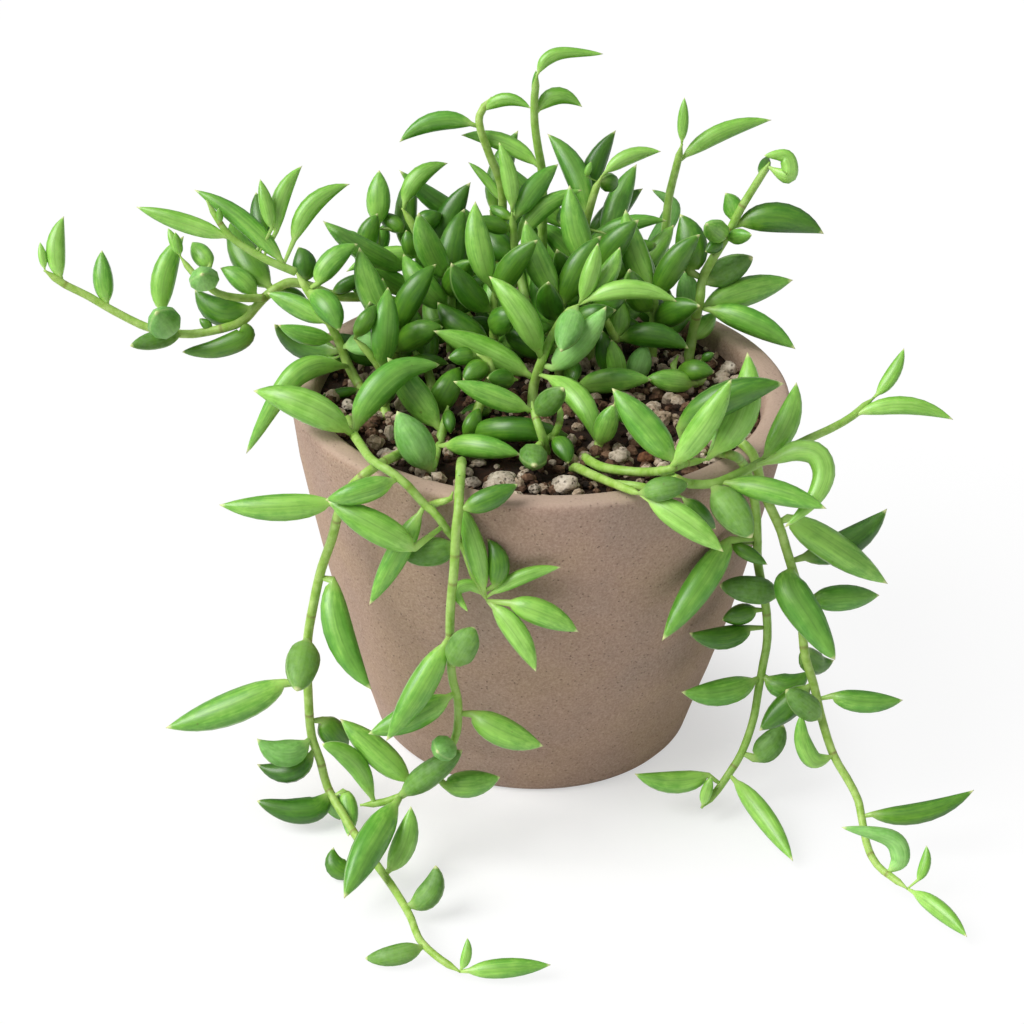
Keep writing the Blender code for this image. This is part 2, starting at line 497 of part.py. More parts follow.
# Pumice and bark lying on the soil: (u, v, width, height, tint).
STONES = {
    "pumice_front": (-2, 8.5, 7.5, 3.6, "pale"),
    "pumice_front_left": (-9.7, 8.3, 3.6, 2.4, "grey"),
    "pumice_bright": (13.5, 7.6, 6.5, 4.0, "pale"),
    "pumice_small": (5.5, 6.6, 2.8, 2.2, "grey"),
    "pumice_right": (27, 14.5, 5.2, 4.6, "pale"),
    "bark_right": (33.4, 14.4, 3.8, 2.8, "brown"),
    "pumice_inner": (31.5, 19.5, 4.8, 3.4, "grey"),
    "pumice_rear_right": (55, 36.6, 4.2, 3.8, "pale"),
    "pumice_left": (-41, 27.6, 3.2, 2.4, "pale"),
    "pumice_low_left": (-31.5, 15.3, 3.8, 2.2, "grey"),
}

# Shoots on the far side, by rule: (heading in degrees, distance from the axis, height, lean).
BACK_SHOOTS = [(74, 50, 30, 6), (97, 50, 28, 7), (122, 50, 20, 7)]
# Short bushy shoots in the middle of the soil: (x, y, height, heading of the lowest leaf).
MIDDLE_SHOOTS = [
    (-12, 15, 24, 20), (5, 14, 22, 65), (-23, 25, 22, 110), (13, 23.5, 26, 30), (29, 24, 20, 45),
    (-37, 13, 13, 55),
]
# Vines over the far rim: (heading in degrees, height where it ends).
BACK_TRAILERS = [(68, 16), (112, 36)]

TINTS = {
    "light": (0.26, 0.55, 0.09),
    "mid": (0.11, 0.32, 0.045),
    "dark": (0.048, 0.16, 0.038),
    "glaucous": (0.2, 0.38, 0.2),
    "blunt": (0.2, 0.38, 0.2),
    "pale": (0.58, 0.51, 0.42),
    "grey": (0.39, 0.33, 0.27),
    "brown": (0.2, 0.085, 0.05),
}


# ---------------------------------------------------------------- sketch plane to world
BACK = np.array([0.0, -math.cos(VIEW_PITCH), math.sin(VIEW_PITCH)])
UP = np.array([0.0, math.sin(VIEW_PITCH), math.cos(VIEW_PITCH)])
RIGHT = np.array([1.0, 0.0, 0.0])
RIM_CENTRE = np.array([0.0, 0.0, POT_HEIGHT])
EYE = RIM_CENTRE + EYE_DISTANCE * BACK - EYE_ASIDE * RIGHT - EYE_BELOW * UP


def world(u, v, w):
    """World points, in mm, of sketch points u, v at the depth w."""
    u, v, w = (np.atleast_1d(np.asarray(a, float)) for a in (u, v, w))
    turned_u = math.cos(VIEW_ROLL) * u - math.sin(VIEW_ROLL) * v
    turned_v = math.sin(VIEW_ROLL) * u + math.cos(VIEW_ROLL) * v
    reach = (EYE_DISTANCE - w)[:, None]
    spread = turned_u[:, None] * RIGHT + turned_v[:, None] * UP
    return EYE - BACK * reach + spread * reach / EYE_DISTANCE


def sketch(x, y, z):
    """The sketch point (u, v, w) of a world point in mm."""
    offset = np.array([x, y, z], float) - EYE
    reach = -offset @ BACK
    turned_u = offset @ RIGHT * EYE_DISTANCE / reach
    turned_v = offset @ UP * EYE_DISTANCE / reach
    u = math.cos(VIEW_ROLL) * turned_u + math.sin(VIEW_ROLL) * turned_v
    v = -math.sin(VIEW_ROLL) * turned_u + math.cos(VIEW_ROLL) * turned_v
    return float(u), float(v), float(EYE_DISTANCE - reach)


def depth_at_height(u, v, z):
    """The depth at which the sight line through u, v is z above the ground."""
    near = world(u, v, 0.0)[0][2]
    far = world(u, v, 100.0)[0][2]
    return (z - near) / (far - near) * 100.0


def on_soil(u, v, z):
    """The sketch point seen at u, v at the height z, kept within the soil's edge."""
    x, y, _ = world(u, v, depth_at_height(u, v, z))[0]
    inward = min(1.0, SOIL_REACH / math.hypot(x, y))
    return sketch(x * inward, y * inward, z)


# ---------------------------------------------------------------- vines as rings
def spline_weights(count, position):
    """Catmull-Rom weights of the control points at a position between 0 and count - 1."""
    index = min(int(position), count - 2)
    t = position - index
    shares = (
        (-t + 2 * t * t - t ** 3) / 2,
        (2 - 5 * t * t + 3 * t ** 3) / 2,
        (t + 4 * t * t - 3 * t ** 3) / 2,
        (-t * t + t ** 3) / 2,
    )
    weights = {}
    for offset, share in zip((-1, 0, 1, 2), shares):
        key = min(max(index + offset, 0), count - 1)
        weights[key] = weights.get(key, 0.0) + share
    return weights


def mixed(first, second, share):
    """The ring that lies between two rings."""
    keys = set(first["row"]) | set(second["row"])
    blend = {k: first["row"].get(k, 0) * (1 - share) + second["row"].get(k, 0) * share for k in keys}
    ring = {name: first[name] * (1 - share) + second[name] * share for name in ("u", "v", "w", "r")}
    ring["row"] = blend
    ring["along"] = first["along"] * (1 - share) + second["along"] * share
    return ring


class Layout:
    """All stems and leaves, each a run of rings whose depth may give way to its neighbours."""

    def __init__(self):
        self.freedoms = 0
        self.chains = []
        self.runs = []

    def new_freedom(self):
        self.freedoms += 1
        return self.freedoms - 1

    def add_stem(self, vine, points, radius, parent=None):
        first = self.freedoms
        self.freedoms += len(points)
        self.chains.append((first, len(points), parent is None))
        rings = []
        for index in range(len(points) - 1):
            here = np.array(points[index], float)
            there = np.array(points[index + 1], float)
            steps = max(1, round(float(np.linalg.norm(there - here)) / STEM_STEP))
            last = index == len(points) - 2
            for step in range(steps + (1 if last else 0)):
                weights = spline_weights(len(points), index + step / steps)
                place = sum(np.array(points[k], float) * s for k, s in weights.items())
                row = {first + k: s for k, s in weights.items()}
                rings.append({"u": place[0], "v": place[1], "w": place[2], "row": row,
                              "r": radius, "along": 1.0})
        for ring_index, ring in enumerate(rings):
            ring["r"] = radius * (1.0 - 0.3 * ring_index / (len(rings) - 1))
        rings[0]["along"] = 0.0
        if parent is not None:
            rings[0] = dict(parent, r=rings[0]["r"] * 0.75, along=0.0)
        self.runs.append({"vine": vine, "kind": "stem", "rings": rings, "rooted": parent is None,
                          "slim": 1.0})
        return rings

    def nearest(self, stems, u, v):
        best = None
        for rings in stems:
            for a, b in zip(rings[:-1], rings[1:]):
                span = (b["u"] - a["u"], b["v"] - a["v"])
                square = span[0] ** 2 + span[1] ** 2 or 1e-9
                share = ((u - a["u"]) * span[0] + (v - a["v"]) * span[1]) / square
                share = min(max(share, 0.3 if a["along"] == 0 else 0.04), 0.96)
                ring = mixed(a, b, share)
                away = math.hypot(ring["u"] - u, ring["v"] - v)
                if best is None or away < best[0]:
                    best = (away, ring)
        return best

    def add_leaf(self, vine, stems, leaf):
        base_u, base_v, tip_u, tip_v, width, bow, swing, tint = leaf[:8]
        away, root = self.nearest(stems, base_u, base_v)
        bend = self.new_freedom()
        lean = self.new_freedom()
        start = np.array([base_u, base_v], float)
        if away <= PETIOLE_FROM:
            start = np.array([root["u"], root["v"]])
            away = 0.0
        end = np.array([tip_u, tip_v], float)
        chord = end - start
        length = float(np.linalg.norm(chord))
        left = np.array([-chord[1], chord[0]]) / max(length, 1e-6)
        passing = [np.array(p, float) for p in leaf[8]] if len(leaf) > 8 else []
        through = [start, *passing, end]
        if passing:
            length = sum(float(np.linalg.norm(b - a)) for a, b in zip(through[:-1], through[1:]))
        span = math.hypot(length, swing)
        profile = leaf_profile(span, tint, bool(passing))
        limit = math.sqrt(max(LEAF_REACH ** 2 - length ** 2, 64.0))
        rings = []
        if away > 0:
            rings.append(dict(root, r=PETIOLE_RADIUS, along=0.0))
        for t, fat in profile:
            if passing:
                weights = spline_weights(len(through), t * (len(through) - 1))
                place = sum(through[k] * s for k, s in weights.items())
            else:
                place = start + chord * t + left * bow * 4 * t * (1 - t)
            share = (away + t * span) / (away + span)
            row = dict(root["row"])
            row[lean] = share
            row[bend] = 4 * share * (1 - share)
            radius = width / 2 * fat
            if t == 0 and away == 0:
                radius = min(radius, 0.62 * root["r"])
            elif t == 0:
                radius = min(radius, PETIOLE_RADIUS * 1.3)
            rings.append({"u": place[0], "v": place[1], "w": root["w"] + swing * share, "row": row,
                          "r": radius, "along": share})
        self.runs.append({"vine": vine, "kind": "leaf", "rings": rings, "rooted": False, "tint": tint,
                          "lean": lean, "bend": bend, "swing": swing, "limit": limit, "slim": 1.0})

    def balls(self, stones):
        """Balls along every run, as arrays, and the matrix from the freedoms to their depths."""
        found = []
        for number, run in enumerate(self.runs):
            for a, b in zip(run["rings"][:-1], run["rings"][1:]):
                gap = math.hypot(b["u"] - a["u"], b["v"] - a["v"], b["w"] - a["w"])
                pieces = max(1, round(gap / BALL_STEP))
                for step in range(pieces):
                    found.append((number, mixed(a, b, (step + 0.5) / pieces)))
        matrix = np.zeros((len(found) + len(stones), self.freedoms))
        for line, (_, ring) in enumerate(found):
            for key, share in ring["row"].items():
                matrix[line, key] = share
        data = {name: np.array([ring[name] for _, ring in found] + [s[name] for s in stones])
                for name in ("u", "v", "w", "r")}
        data["along"] = np.array([ring["along"] for _, ring in found] + [1.0] * len(stones))
        data["run"] = np.array([number for number, _ in found] + [-1 - i for i in range(len(stones))])
        owners = [self.runs[number]["vine"] for number, _ in found]
        owners += [f"stone {i}" for i in range(len(stones))]
        names = {name: i for i, name in enumerate(dict.fromkeys(owners))}
        data["vine"] = np.array([names[name] for name in owners])
        leaf = [self.runs[number]["kind"] == "leaf" for number, _ in found]
        data["leaf"] = np.array(leaf + [False] * len(stones))
        return data, matrix

    def settle(self, stones):
        """Moves the rings along the line of sight until vines, pot, soil and ground are clear."""
        data, matrix = self.balls(stones)
        first, second = close_pairs(data)
        same = data["vine"][first] == data["vine"][second]
        depth = data["w"]
        order = self.front_to_back(data, first, second)
        move = np.zeros(self.freedoms)
        fixed = np.array([start for start, _, rooted in self.chains if rooted])
        leaves = [run for run in self.runs if run["kind"] == "leaf"]
        lean = np.array([run["lean"] for run in leaves])
        swing = np.array([run["swing"] for run in leaves], float)
        limit = np.array([run["limit"] for run in leaves])
        weight = np.abs(matrix)
        away_from_root = data["along"] > np.where(data["leaf"], 0.12, 0.4)
        for settle_round in range(SETTLE_ROUNDS):
            depth = data["w"] + matrix @ move
            place = world(data["u"], data["v"], depth)
            radius = data["r"] * (EYE_DISTANCE - depth) / EYE_DISTANCE
            push = np.zeros(len(depth))
            count = np.full(len(depth), 1e-9)
            sight = EYE - place
            sight /= np.linalg.norm(sight, axis=1)[:, None]
            apart = place[first] - place[second]
            middle = (sight[first] + sight[second]) / 2
            along = np.sum(apart * middle, axis=1)
            across = np.sum(apart * apart, axis=1) - along ** 2
            reach = radius[first] + radius[second] + np.where(same, 0.1, CLEARANCE)
            need = np.sqrt(np.maximum(reach ** 2 - across, 0.0)) - along * order
            active = (need > 0) & (reach ** 2 > across)
            give = np.where(active, need * order * 0.5, 0.0)
            share = np.where(same, 0.4, 1.0) * active
            np.add.at(push, first, give * share)
            np.add.at(push, second, -give * share)
            np.add.at(count, first, share)
            np.add.at(count, second, share)
            shove = clear_of_pot(place, sight, radius) * away_from_root * 3
            push += shove
            count += (shove != 0) * 3
            step = matrix.T @ push / (weight.T @ count + 0.35)
            move += 0.9 * step
            move *= 0.995
            for start, length, _ in self.chains:
                if length > 2 and settle_round < SETTLE_ROUNDS - FREE_ROUNDS:
                    chain = move[start:start + length]
                    smooth = (chain[:-2] + 2 * chain[1:-1] + chain[2:]) / 4
                    chain[1:-1] += 0.15 * (smooth - chain[1:-1])
            move[fixed] = 0.0
            move[lean] = np.clip(move[lean] + swing, -limit, limit) - swing
        self.move = move
        self.slim_down(data, matrix, first, second, same)

    def front_to_back(self, data, first, second):
        """Which ball of each pair stays nearer the eye: one answer for a leaf and its neighbour."""
        ahead = data["w"][first] - data["w"][second]
        stems_only = ~data["leaf"][first] & ~data["leaf"][second]
        key = (data["run"][first] + 100) * 10000 + data["run"][second] + 100
        _, group = np.unique(key, return_inverse=True)
        shared = np.bincount(group, weights=ahead)[group]
        order = np.sign(np.where(stems_only, ahead, shared))
        order[order == 0] = 1.0
        return order

    def slim_down(self, data, matrix, first, second, same):
        """Thins the leaves that still touch another vine after settling."""
        depth = data["w"] + matrix @ self.move
        place = world(data["u"], data["v"], depth)
        scale = (EYE_DISTANCE - depth) / EYE_DISTANCE
        slim = np.ones(len(self.runs) + len(data["r"]))
        for _ in range(6):
            radius = data["r"] * scale * slim[data["run"]]
            away = np.linalg.norm(place[first] - place[second], axis=1)
            over = radius[first] + radius[second] + GAP - away
            for pair in np.nonzero((over > 0) & ~same)[0]:
                for ball in (first[pair], second[pair]):
                    if data["leaf"][ball]:
                        run = data["run"][ball]
                        wanted = slim[run] * max(1 - over[pair] * 0.6 / radius[ball], 0.7)
                        slim[run] = max(min(slim[run], wanted), SLIMMEST)
        for number, run in enumerate(self.runs):
            run["slim"] = slim[number]

    def rings_in_world(self, run):
        rings = run["rings"]
        depth = np.array([
            ring["w"] + sum(self.move[k] * s for k, s in ring["row"].items()) for ring in rings
        ])
        place = world([ring["u"] for ring in rings], [ring["v"] for ring in rings], depth)
        radii = np.array([ring["r"] for ring in rings]) * (EYE_DISTANCE - depth) / EYE_DISTANCE
        return place, radii * run["slim"]


def leaf_profile(length, tint, hooked):
    """The leaf's fullness along its length."""
    if hooked:
        return HOOKED
    if length < STUBBY_BELOW:
        return STUBBY
    return BLUNT if tint == "blunt" else PLUMP


def close_pairs(data):
    """Pairs of balls of different runs whose outlines meet in the sketch plane."""
    u, v, r = data["u"], data["v"], data["r"]
    first, second = [], []
    for i in range(len(u)):
        near = np.hypot(u[i + 1:] - u[i], v[i + 1:] - v[i]) < (r[i + 1:] + r[i]) * 1.12 + 1.0
        others = np.nonzero(near)[0] + i + 1
        others = others[data["run"][others] != data["run"][i]]
        kin = data["vine"][others] == data["vine"][i]
        young = (data["along"][others] < 0.3) | (data["along"][i] < 0.3)
        others = others[~(kin & young)]
        first.extend([i] * len(others))
        second.extend(others.tolist())
    return np.array(first), np.array(second)


def pot_section():
    """The half section of the pot with its soil, in order."""
    inner = [(r, z) for r, z in POT_INSIDE if z > SOIL_TOP]
    return np.array([(0.0, 0.0), *POT_OUTSIDE, *inner, (55.4, SOIL_TOP), (0.0, SOIL_TOP)])


SECTION = pot_section()


def distance_to_pot(place):
    """Distance outside the pot and its soil, negative inside."""
    point = np.stack([np.hypot(place[:, 0], place[:, 1]), place[:, 2]], axis=1)
    best = np.full(len(point), 1e9)
    inside = np.zeros(len(point), bool)
    for start, end in zip(SECTION, np.roll(SECTION, -1, axis=0)):
        edge = end - start
        share = np.clip((point - start) @ edge / (edge @ edge), 0, 1)
        nearest = start + share[:, None] * edge
        away = np.linalg.norm(point - nearest, axis=1)
        on_axis = start[0] == 0 and end[0] == 0
        best = best if on_axis else np.minimum(best, away)
        crosses = (start[1] > point[:, 1]) != (end[1] > point[:, 1])
        rise = np.where(edge[1] == 0, 1e-9, edge[1])
        at = start[0] + (point[:, 1] - start[1]) / rise * edge[0]
        inside ^= crosses & (point[:, 0] < at)
    return np.where(inside, -best, best)


def clear_of_pot(place, sight, radius):
    """How far each ball moves along its sight line to leave the pot, the soil and the ground."""
    away = distance_to_pot(place)
    slope = np.abs(distance_to_pot(place + sight * 0.4) - away) / 0.4
    outside = np.hypot(place[:, 0], place[:, 1]) > 0.96 * POT_RIM_RADIUS
    beyond = outside & (place[:, 1] > 12) & (place[:, 2] < POT_HEIGHT - 1.5)
    short = radius + CLEARANCE - away
    shove = np.where(short > 0, np.clip(short / np.maximum(slope, 0.35), 0, 6), 0.0)
    shove = np.where(beyond, -shove, shove)
    low = radius + CLEARANCE - place[:, 2]
    lift = np.where(low > 0, np.clip(low / sight[:, 2], 0, 8), 0.0)
    return np.where(lift > 0, lift, shove)


# ---------------------------------------------------------------- the far side, by rule
def polar(heading, distance, z):
    angle = math.radians(heading)
    return distance * math.cos(angle), distance * math.sin(angle), z


def back_shoot(heading, distance, height, lean):
    """A short upright shoot with leaves to either side."""
    points = []
    for step in range(4):
        share = step / 3
        place = polar(heading + lean * share, distance + lean * share, SOIL_TOP + GAP + height * share)
        points.append(sketch(*place))
    leaves = []
    for number in range(5):
        share = 0.25 + 0.17 * number
        side = 1 if number % 2 else -1
        base = polar(heading + lean * share, distance + lean * share, SOIL_TOP + height * share)
        tip = polar(heading + side * 17 + 4 * number, distance + lean * share + 9,
                    base[2] + 13 + 2 * number)
        leaves.append(leaf_between(base, tip, 5.6, "mid" if number % 2 else "dark"))
    return {"stem": points, "leaves": leaves}


def middle_shoot(x, y, height, heading):
    """A bushy shoot whose leaves stand out all round it, one above the other."""
    points = [sketch(x, y, SOIL_TOP + GAP + height * step / 2) for step in range(3)]
    leaves = []
    for number in range(7):
        base_z = SOIL_TOP + height * (0.22 + 0.12 * number)
        angle = math.radians(heading + 137 * number)
        reach = 17 - 1.2 * number
        tip = (x + reach * math.cos(angle), y + reach * math.sin(angle), base_z + 6 + 2.5 * number)
        leaves.append(leaf_between((x, y, base_z), tip, 6.6, "dark" if number % 3 else "mid"))
    return {"stem": points, "leaves": leaves}


def back_trailer(heading, end_height):
    """A vine that climbs over the far rim and hangs down the wall."""
    route = [(42, SOIL_TOP + GAP), (51, 94), (58, 99.5), (64, 99.2), (66.2, 93)]
    height = 82
    while height > end_height:
        route.append((POT_RIM_RADIUS + 2.6 - (POT_HEIGHT - height) * 0.18, height))
        height -= 11
    points = [sketch(*polar(heading + 2.5 * math.sin(i), r, z)) for i, (r, z) in enumerate(route)]
    leaves = []
    for number, (r, z) in enumerate(route[3:]):
        side = 1 if number % 2 else -1
        base = polar(heading + 2.5 * math.sin(number + 3), r, z)
        drop = min(17.0, base[2] - 5.0)
        tip = polar(heading + side * 14, r + 7, base[2] - drop)
        leaves.append(leaf_between(base, tip, 5.8, "mid" if number % 3 else "light"))
    return {"stem": points, "leaves": leaves}


def leaf_between(base, tip, width, tint):
    """A leaf row from two world points."""
    base_u, base_v, base_w = sketch(*base)
    tip_u, tip_v, tip_w = sketch(*tip)
    return (base_u, base_v, tip_u, tip_v, width, 1.5, tip_w - base_w, tint)


def all_vines():
    vines = dict(VINES)
    for number, shoot in enumerate(MIDDLE_SHOOTS):
        vines[f"shoot_middle_{number + 1}"] = middle_shoot(*shoot)
    for number, shoot in enumerate(BACK_SHOOTS):
        vines[f"shoot_far_side_{number + 1}"] = back_shoot(*shoot)
    for number, trailer in enumerate(BACK_TRAILERS):
        vines[f"vine_far_side_{number + 1}"] = back_trailer(*trailer)
    return vines


def lay_out():
    """Every run of rings, settled."""
    layout = Layout()
    for name, vine in all_vines().items():
        points = [tuple(p) for p in vine["stem"]]
        points[0] = on_soil(*points[0][:2], SOIL_TOP + GAP)
        stems = [layout.add_stem(name, points, STEM_RADIUS)]
        for branch in vine.get("branches", []):
            _, joint = layout.nearest(stems, branch[0][0], branch[0][1])
            stems.append(layout.add_stem(name, branch, STEM_RADIUS * 0.8, joint))
        for leaf in vine["leaves"]:
            layout.add_leaf(name, stems, leaf)
    stones = []
    for u, v, width, height, _ in STONES.values():
        u, v, w = on_soil(u, v, SOIL_TOP + GAP + height / 2)
        stones.append({"u": u, "v": v, "w": w, "r": width / 2})
    layout.settle(stones)
    return layout


# ---------------------------------------------------------------- meshes
def material(name, colour, roughness):
    made = bpy.data.materials.new(name)
    made.use_nodes = True
    shader = made.node_tree.nodes["Principled BSDF"]
    shader.inputs["Base Color"].default_value = (*colour, 1.0)
    shader.inputs["Roughness"].default_value = roughness
    shader.inputs["Metallic"].default_value = 0.0
    made.diffuse_color = (*colour, 1.0)
    return made


def place_object(name, mesh, colour, roughness):
    obj = bpy.data.objects.new(name, mesh)
    bpy.context.scene.collection.objects.link(obj)
    obj.data.materials.clear()
    obj.data.materials.append(material(name, colour, roughness))
    mesh.shade_smooth()
    mesh.set_sharp_from_angle(angle=math.radians(40))
    return obj


def tube_mesh(name, centres, radii, sides, level_start):
    """A closed tube through the centres; the last ring closes to a point where its radius is nought."""
    bm = bmesh.new()
    centres = [Vector(c * MM) for c in centres]
    normal = None
    rings = []
    for index, centre in enumerate(centres):
        ahead = centres[min(index + 1, len(centres) - 1)]
        behind = centres[max(index - 1, 0)]
        direction = (ahead - behind).normalized()
        if index == 0 and level_start:
            direction = Vector((0, 0, 1))
        if normal is None:
            normal = direction.orthogonal().normalized()
        normal = (normal - direction * normal.dot(direction)).normalized()
        side = direction.cross(normal)
        if radii[index] == 0:
            rings.append([bm.verts.new(centre)])
            continue
        ring = []
        for corner in range(sides):
            angle = 2 * math.pi * corner / sides
            arm = normal * math.cos(angle) + side * math.sin(angle)
            ring.append(bm.verts.new(centre + arm * radii[index] * MM))
        rings.append(ring)
    bm.faces.new(list(reversed(rings[0])))
    for lower, upper in zip(rings[:-1], rings[1:]):
        for corner in range(sides):
            after = (corner + 1) % sides
            if len(upper) == 1:
                bm.faces.new([lower[corner], lower[after], upper[0]])
            else:
                bm.faces.new([lower[corner], lower[after], upper[after], upper[corner]])
    if len(rings[-1]) > 1:
        bm.faces.new(rings[-1])
    mesh = bpy.data.meshes.new(name)
    bm.to_mesh(mesh)
    bm.free()
    return mesh


def is_one_body(mesh):
    """Whether the mesh is closed and all of a piece."""
    bm = bmesh.new()
    bm.from_mesh(mesh)
    closed = all(len(edge.link_faces) == 2 for edge in bm.edges)
    reached = {bm.verts[:][0]} if len(bm.verts) else set()
    waiting = list(reached)
    while waiting:
        vertex = waiting.pop()
        for edge in vertex.link_edges:
            other = edge.other_vert(vertex)
            if other not in reached:
                reached.add(other)
                waiting.append(other)
    whole = len(reached) == len(bm.verts)
    bm.free()
    return closed and whole


def volume_of(mesh):
    bm = bmesh.new()
    bm.from_mesh(mesh)
    volume = bm.calc_volume()
    bm.free()
    return volume


def joined(name, meshes):
    """One closed body from overlapping closed bodies."""
    body = bpy.data.objects.new(name, meshes[0])
    bpy.context.scene.collection.objects.link(body)
    for mesh in meshes[1:]:
        piece = bpy.data.objects.new(f"{name}_piece", mesh)
        bpy.context.scene.collection.objects.link(piece)
        union = body.modifiers.new("Union", "BOOLEAN")
        union.operation = "UNION"
        union.object = piece
        for solver in ("EXACT", "MANIFOLD"):
            union.solver = solver
            graph = bpy.context.evaluated_depsgraph_get()
            grown = bpy.data.meshes.new_from_object(body.evaluated_get(graph))
            if is_one_body(grown) and volume_of(grown) > volume_of(body.data):
                break
        body.modifiers.clear()
        body.data = grown
        bpy.data.objects.remove(piece)
    result = body.data
    bpy.data.objects.remove(body)
    return result


def build_vine(name, layout):
    """A stem with its branches and leaves, grown together."""
    meshes = []
    leaf_tints = []
    for run in layout.runs:
        if run["vine"] != name:
            continue
        centres, radii = layout.rings_in_world(run)
        sides = STEM_SIDES if run["kind"] == "stem" else LEAF_SIDES
        meshes.append(tube_mesh(name, centres, radii, sides, run["rooted"]))
        if run["kind"] == "leaf":
            leaf_tints.append(TINTS[run["tint"]])
    colour = tuple(np.mean(leaf_tints, axis=0))
    place_object(name, joined(name, meshes), colour, 0.42)


def turned(name, outline):
    """A solid of revolution about Z; the outline runs from the axis round to the axis, in mm."""
    bm = bmesh.new()
    columns = []
    for segment in range(POT_SEGMENTS):
        angle = 2 * math.pi * segment / POT_SEGMENTS
        column = []
        for radius, height in outline[1:-1]:
            x = radius * math.cos(angle) * MM
            y = radius * math.sin(angle) * MM
            column.append(bm.verts.new((x, y, height * MM)))
        columns.append(column)
    foot = bm.verts.new((0, 0, outline[0][1] * MM))
    top = bm.verts.new((0, 0, outline[-1][1] * MM))
    for segment in range(POT_SEGMENTS):
        here = columns[segment]
        there = columns[(segment + 1) % POT_SEGMENTS]
        bm.faces.new([foot, there[0], here[0]])
        for level in range(len(here) - 1):
            bm.faces.new([here[level], there[level], there[level + 1], here[level + 1]])
        bm.faces.new([top, here[-1], there[-1]])
    mesh = bpy.data.meshes.new(name)
    bm.to_mesh(mesh)
    bm.free()
    return mesh


def build_pot():
    outline = [(0.0, 0.0), *POT_OUTSIDE, *POT_INSIDE, (0.0, 6.0)]
    place_object("pot", turned("pot", outline), (0.36, 0.27, 0.22), 0.55)


def build_soil():
    """The potting mix, clear of the pot's inner wall all round."""
    (brim, brim_height), (shoulder, shoulder_height), (floor, floor_height) = POT_INSIDE[2:]
    slope = (shoulder - floor) / (shoulder_height - floor_height)
    top = shoulder + (SOIL_TOP - shoulder_height) * (brim - shoulder) / (brim_height - shoulder_height)
    outline = [(0.0, SOIL_FLOOR), (floor + (slope - 1) * GAP, SOIL_FLOOR),
               (shoulder - GAP, shoulder_height), (top - GAP, SOIL_TOP), (0.0, SOIL_TOP)]
    place_object("potting_soil", turned("potting_soil", outline), (0.027, 0.015, 0.01), 0.95)


def build_stone(name, number, stone):
    """A rough lump resting on the soil."""
    u, v, width, height, tint = stone
    middle = world(*on_soil(u, v, SOIL_TOP + GAP + height / 2))[0]
    bm = bmesh.new()
    bmesh.ops.create_icosphere(bm, subdivisions=2 if width > 4 else 1, radius=1.0)
    for vertex in bm.verts:
        direction = vertex.co.copy()
        lump = 1 + 0.1 * math.sin(5 * direction.x + number) + 0.08 * math.cos(6 * direction.y - number)
        vertex.co = Vector((
            direction.x * width / 2 * lump,
            direction.y * width / 2.4 * lump,
            direction.z * height / 2 * lump,
        ))
    lowest = min(vertex.co.z for vertex in bm.verts)
    middle[2] = SOIL_TOP + GAP - lowest
    for vertex in bm.verts:
        vertex.co = (vertex.co + Vector(middle)) * MM
    mesh = bpy.data.meshes.new(name)
    bm.to_mesh(mesh)
    bm.free()
    place_object(name, mesh, TINTS[tint], 0.85)


def build_all():
    for obj in list(bpy.data.objects):
        bpy.data.objects.remove(obj, do_unlink=True)
    build_pot()
    build_soil()
    layout = lay_out()
    for name in all_vines():
        build_vine(name, layout)
    for number, (name, stone) in enumerate(STONES.items()):
        build_stone(name, number, stone)


build_all()
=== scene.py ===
import json
import math
import random
from functools import partial

import bpy
import numpy as np
from mathutils import Matrix, Vector, noise

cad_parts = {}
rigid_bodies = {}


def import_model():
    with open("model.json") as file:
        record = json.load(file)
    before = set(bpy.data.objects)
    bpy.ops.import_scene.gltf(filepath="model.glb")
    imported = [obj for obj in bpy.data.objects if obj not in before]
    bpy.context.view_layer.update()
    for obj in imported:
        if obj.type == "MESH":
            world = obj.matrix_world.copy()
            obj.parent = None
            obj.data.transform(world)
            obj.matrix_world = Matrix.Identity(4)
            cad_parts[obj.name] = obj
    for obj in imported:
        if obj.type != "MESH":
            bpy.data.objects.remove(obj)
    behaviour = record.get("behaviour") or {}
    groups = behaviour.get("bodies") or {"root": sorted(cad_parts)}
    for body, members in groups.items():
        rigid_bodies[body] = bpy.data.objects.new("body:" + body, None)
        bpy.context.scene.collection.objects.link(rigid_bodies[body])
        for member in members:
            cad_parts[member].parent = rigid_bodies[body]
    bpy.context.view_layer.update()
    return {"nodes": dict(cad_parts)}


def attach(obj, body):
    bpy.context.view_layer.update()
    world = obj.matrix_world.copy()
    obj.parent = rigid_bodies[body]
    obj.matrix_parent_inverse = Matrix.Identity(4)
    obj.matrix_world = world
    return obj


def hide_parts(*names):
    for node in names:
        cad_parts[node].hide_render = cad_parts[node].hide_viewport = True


# A potted string of bananas. Sizes in the dictionaries are millimetres, unless a note says
# otherwise. Vines are drawn on a sketch sheet that stands before the pot: u to the right, v up
# and w towards the eye.

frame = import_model()
mm = 0.001  # metres
print("frame loaded:", len(frame["nodes"]), "nodes")


# small helpers

def dropSelection():
    if bpy.context.object and bpy.context.object.mode != "OBJECT":
        bpy.ops.object.mode_set(mode="OBJECT")
    bpy.ops.object.select_all(action="DESELECT")
    bpy.context.view_layer.objects.active = None


def pickOnly(piece):
    dropSelection()
    piece.select_set(True)
    bpy.context.view_layer.objects.active = piece


def joinPieces(pieces, name):
    dropSelection()
    for piece in pieces:
        piece.select_set(True)
    bpy.context.view_layer.objects.active = pieces[0]
    if len(pieces) > 1:
        bpy.ops.object.join()
    pieces[0].name = name
    return pieces[0]


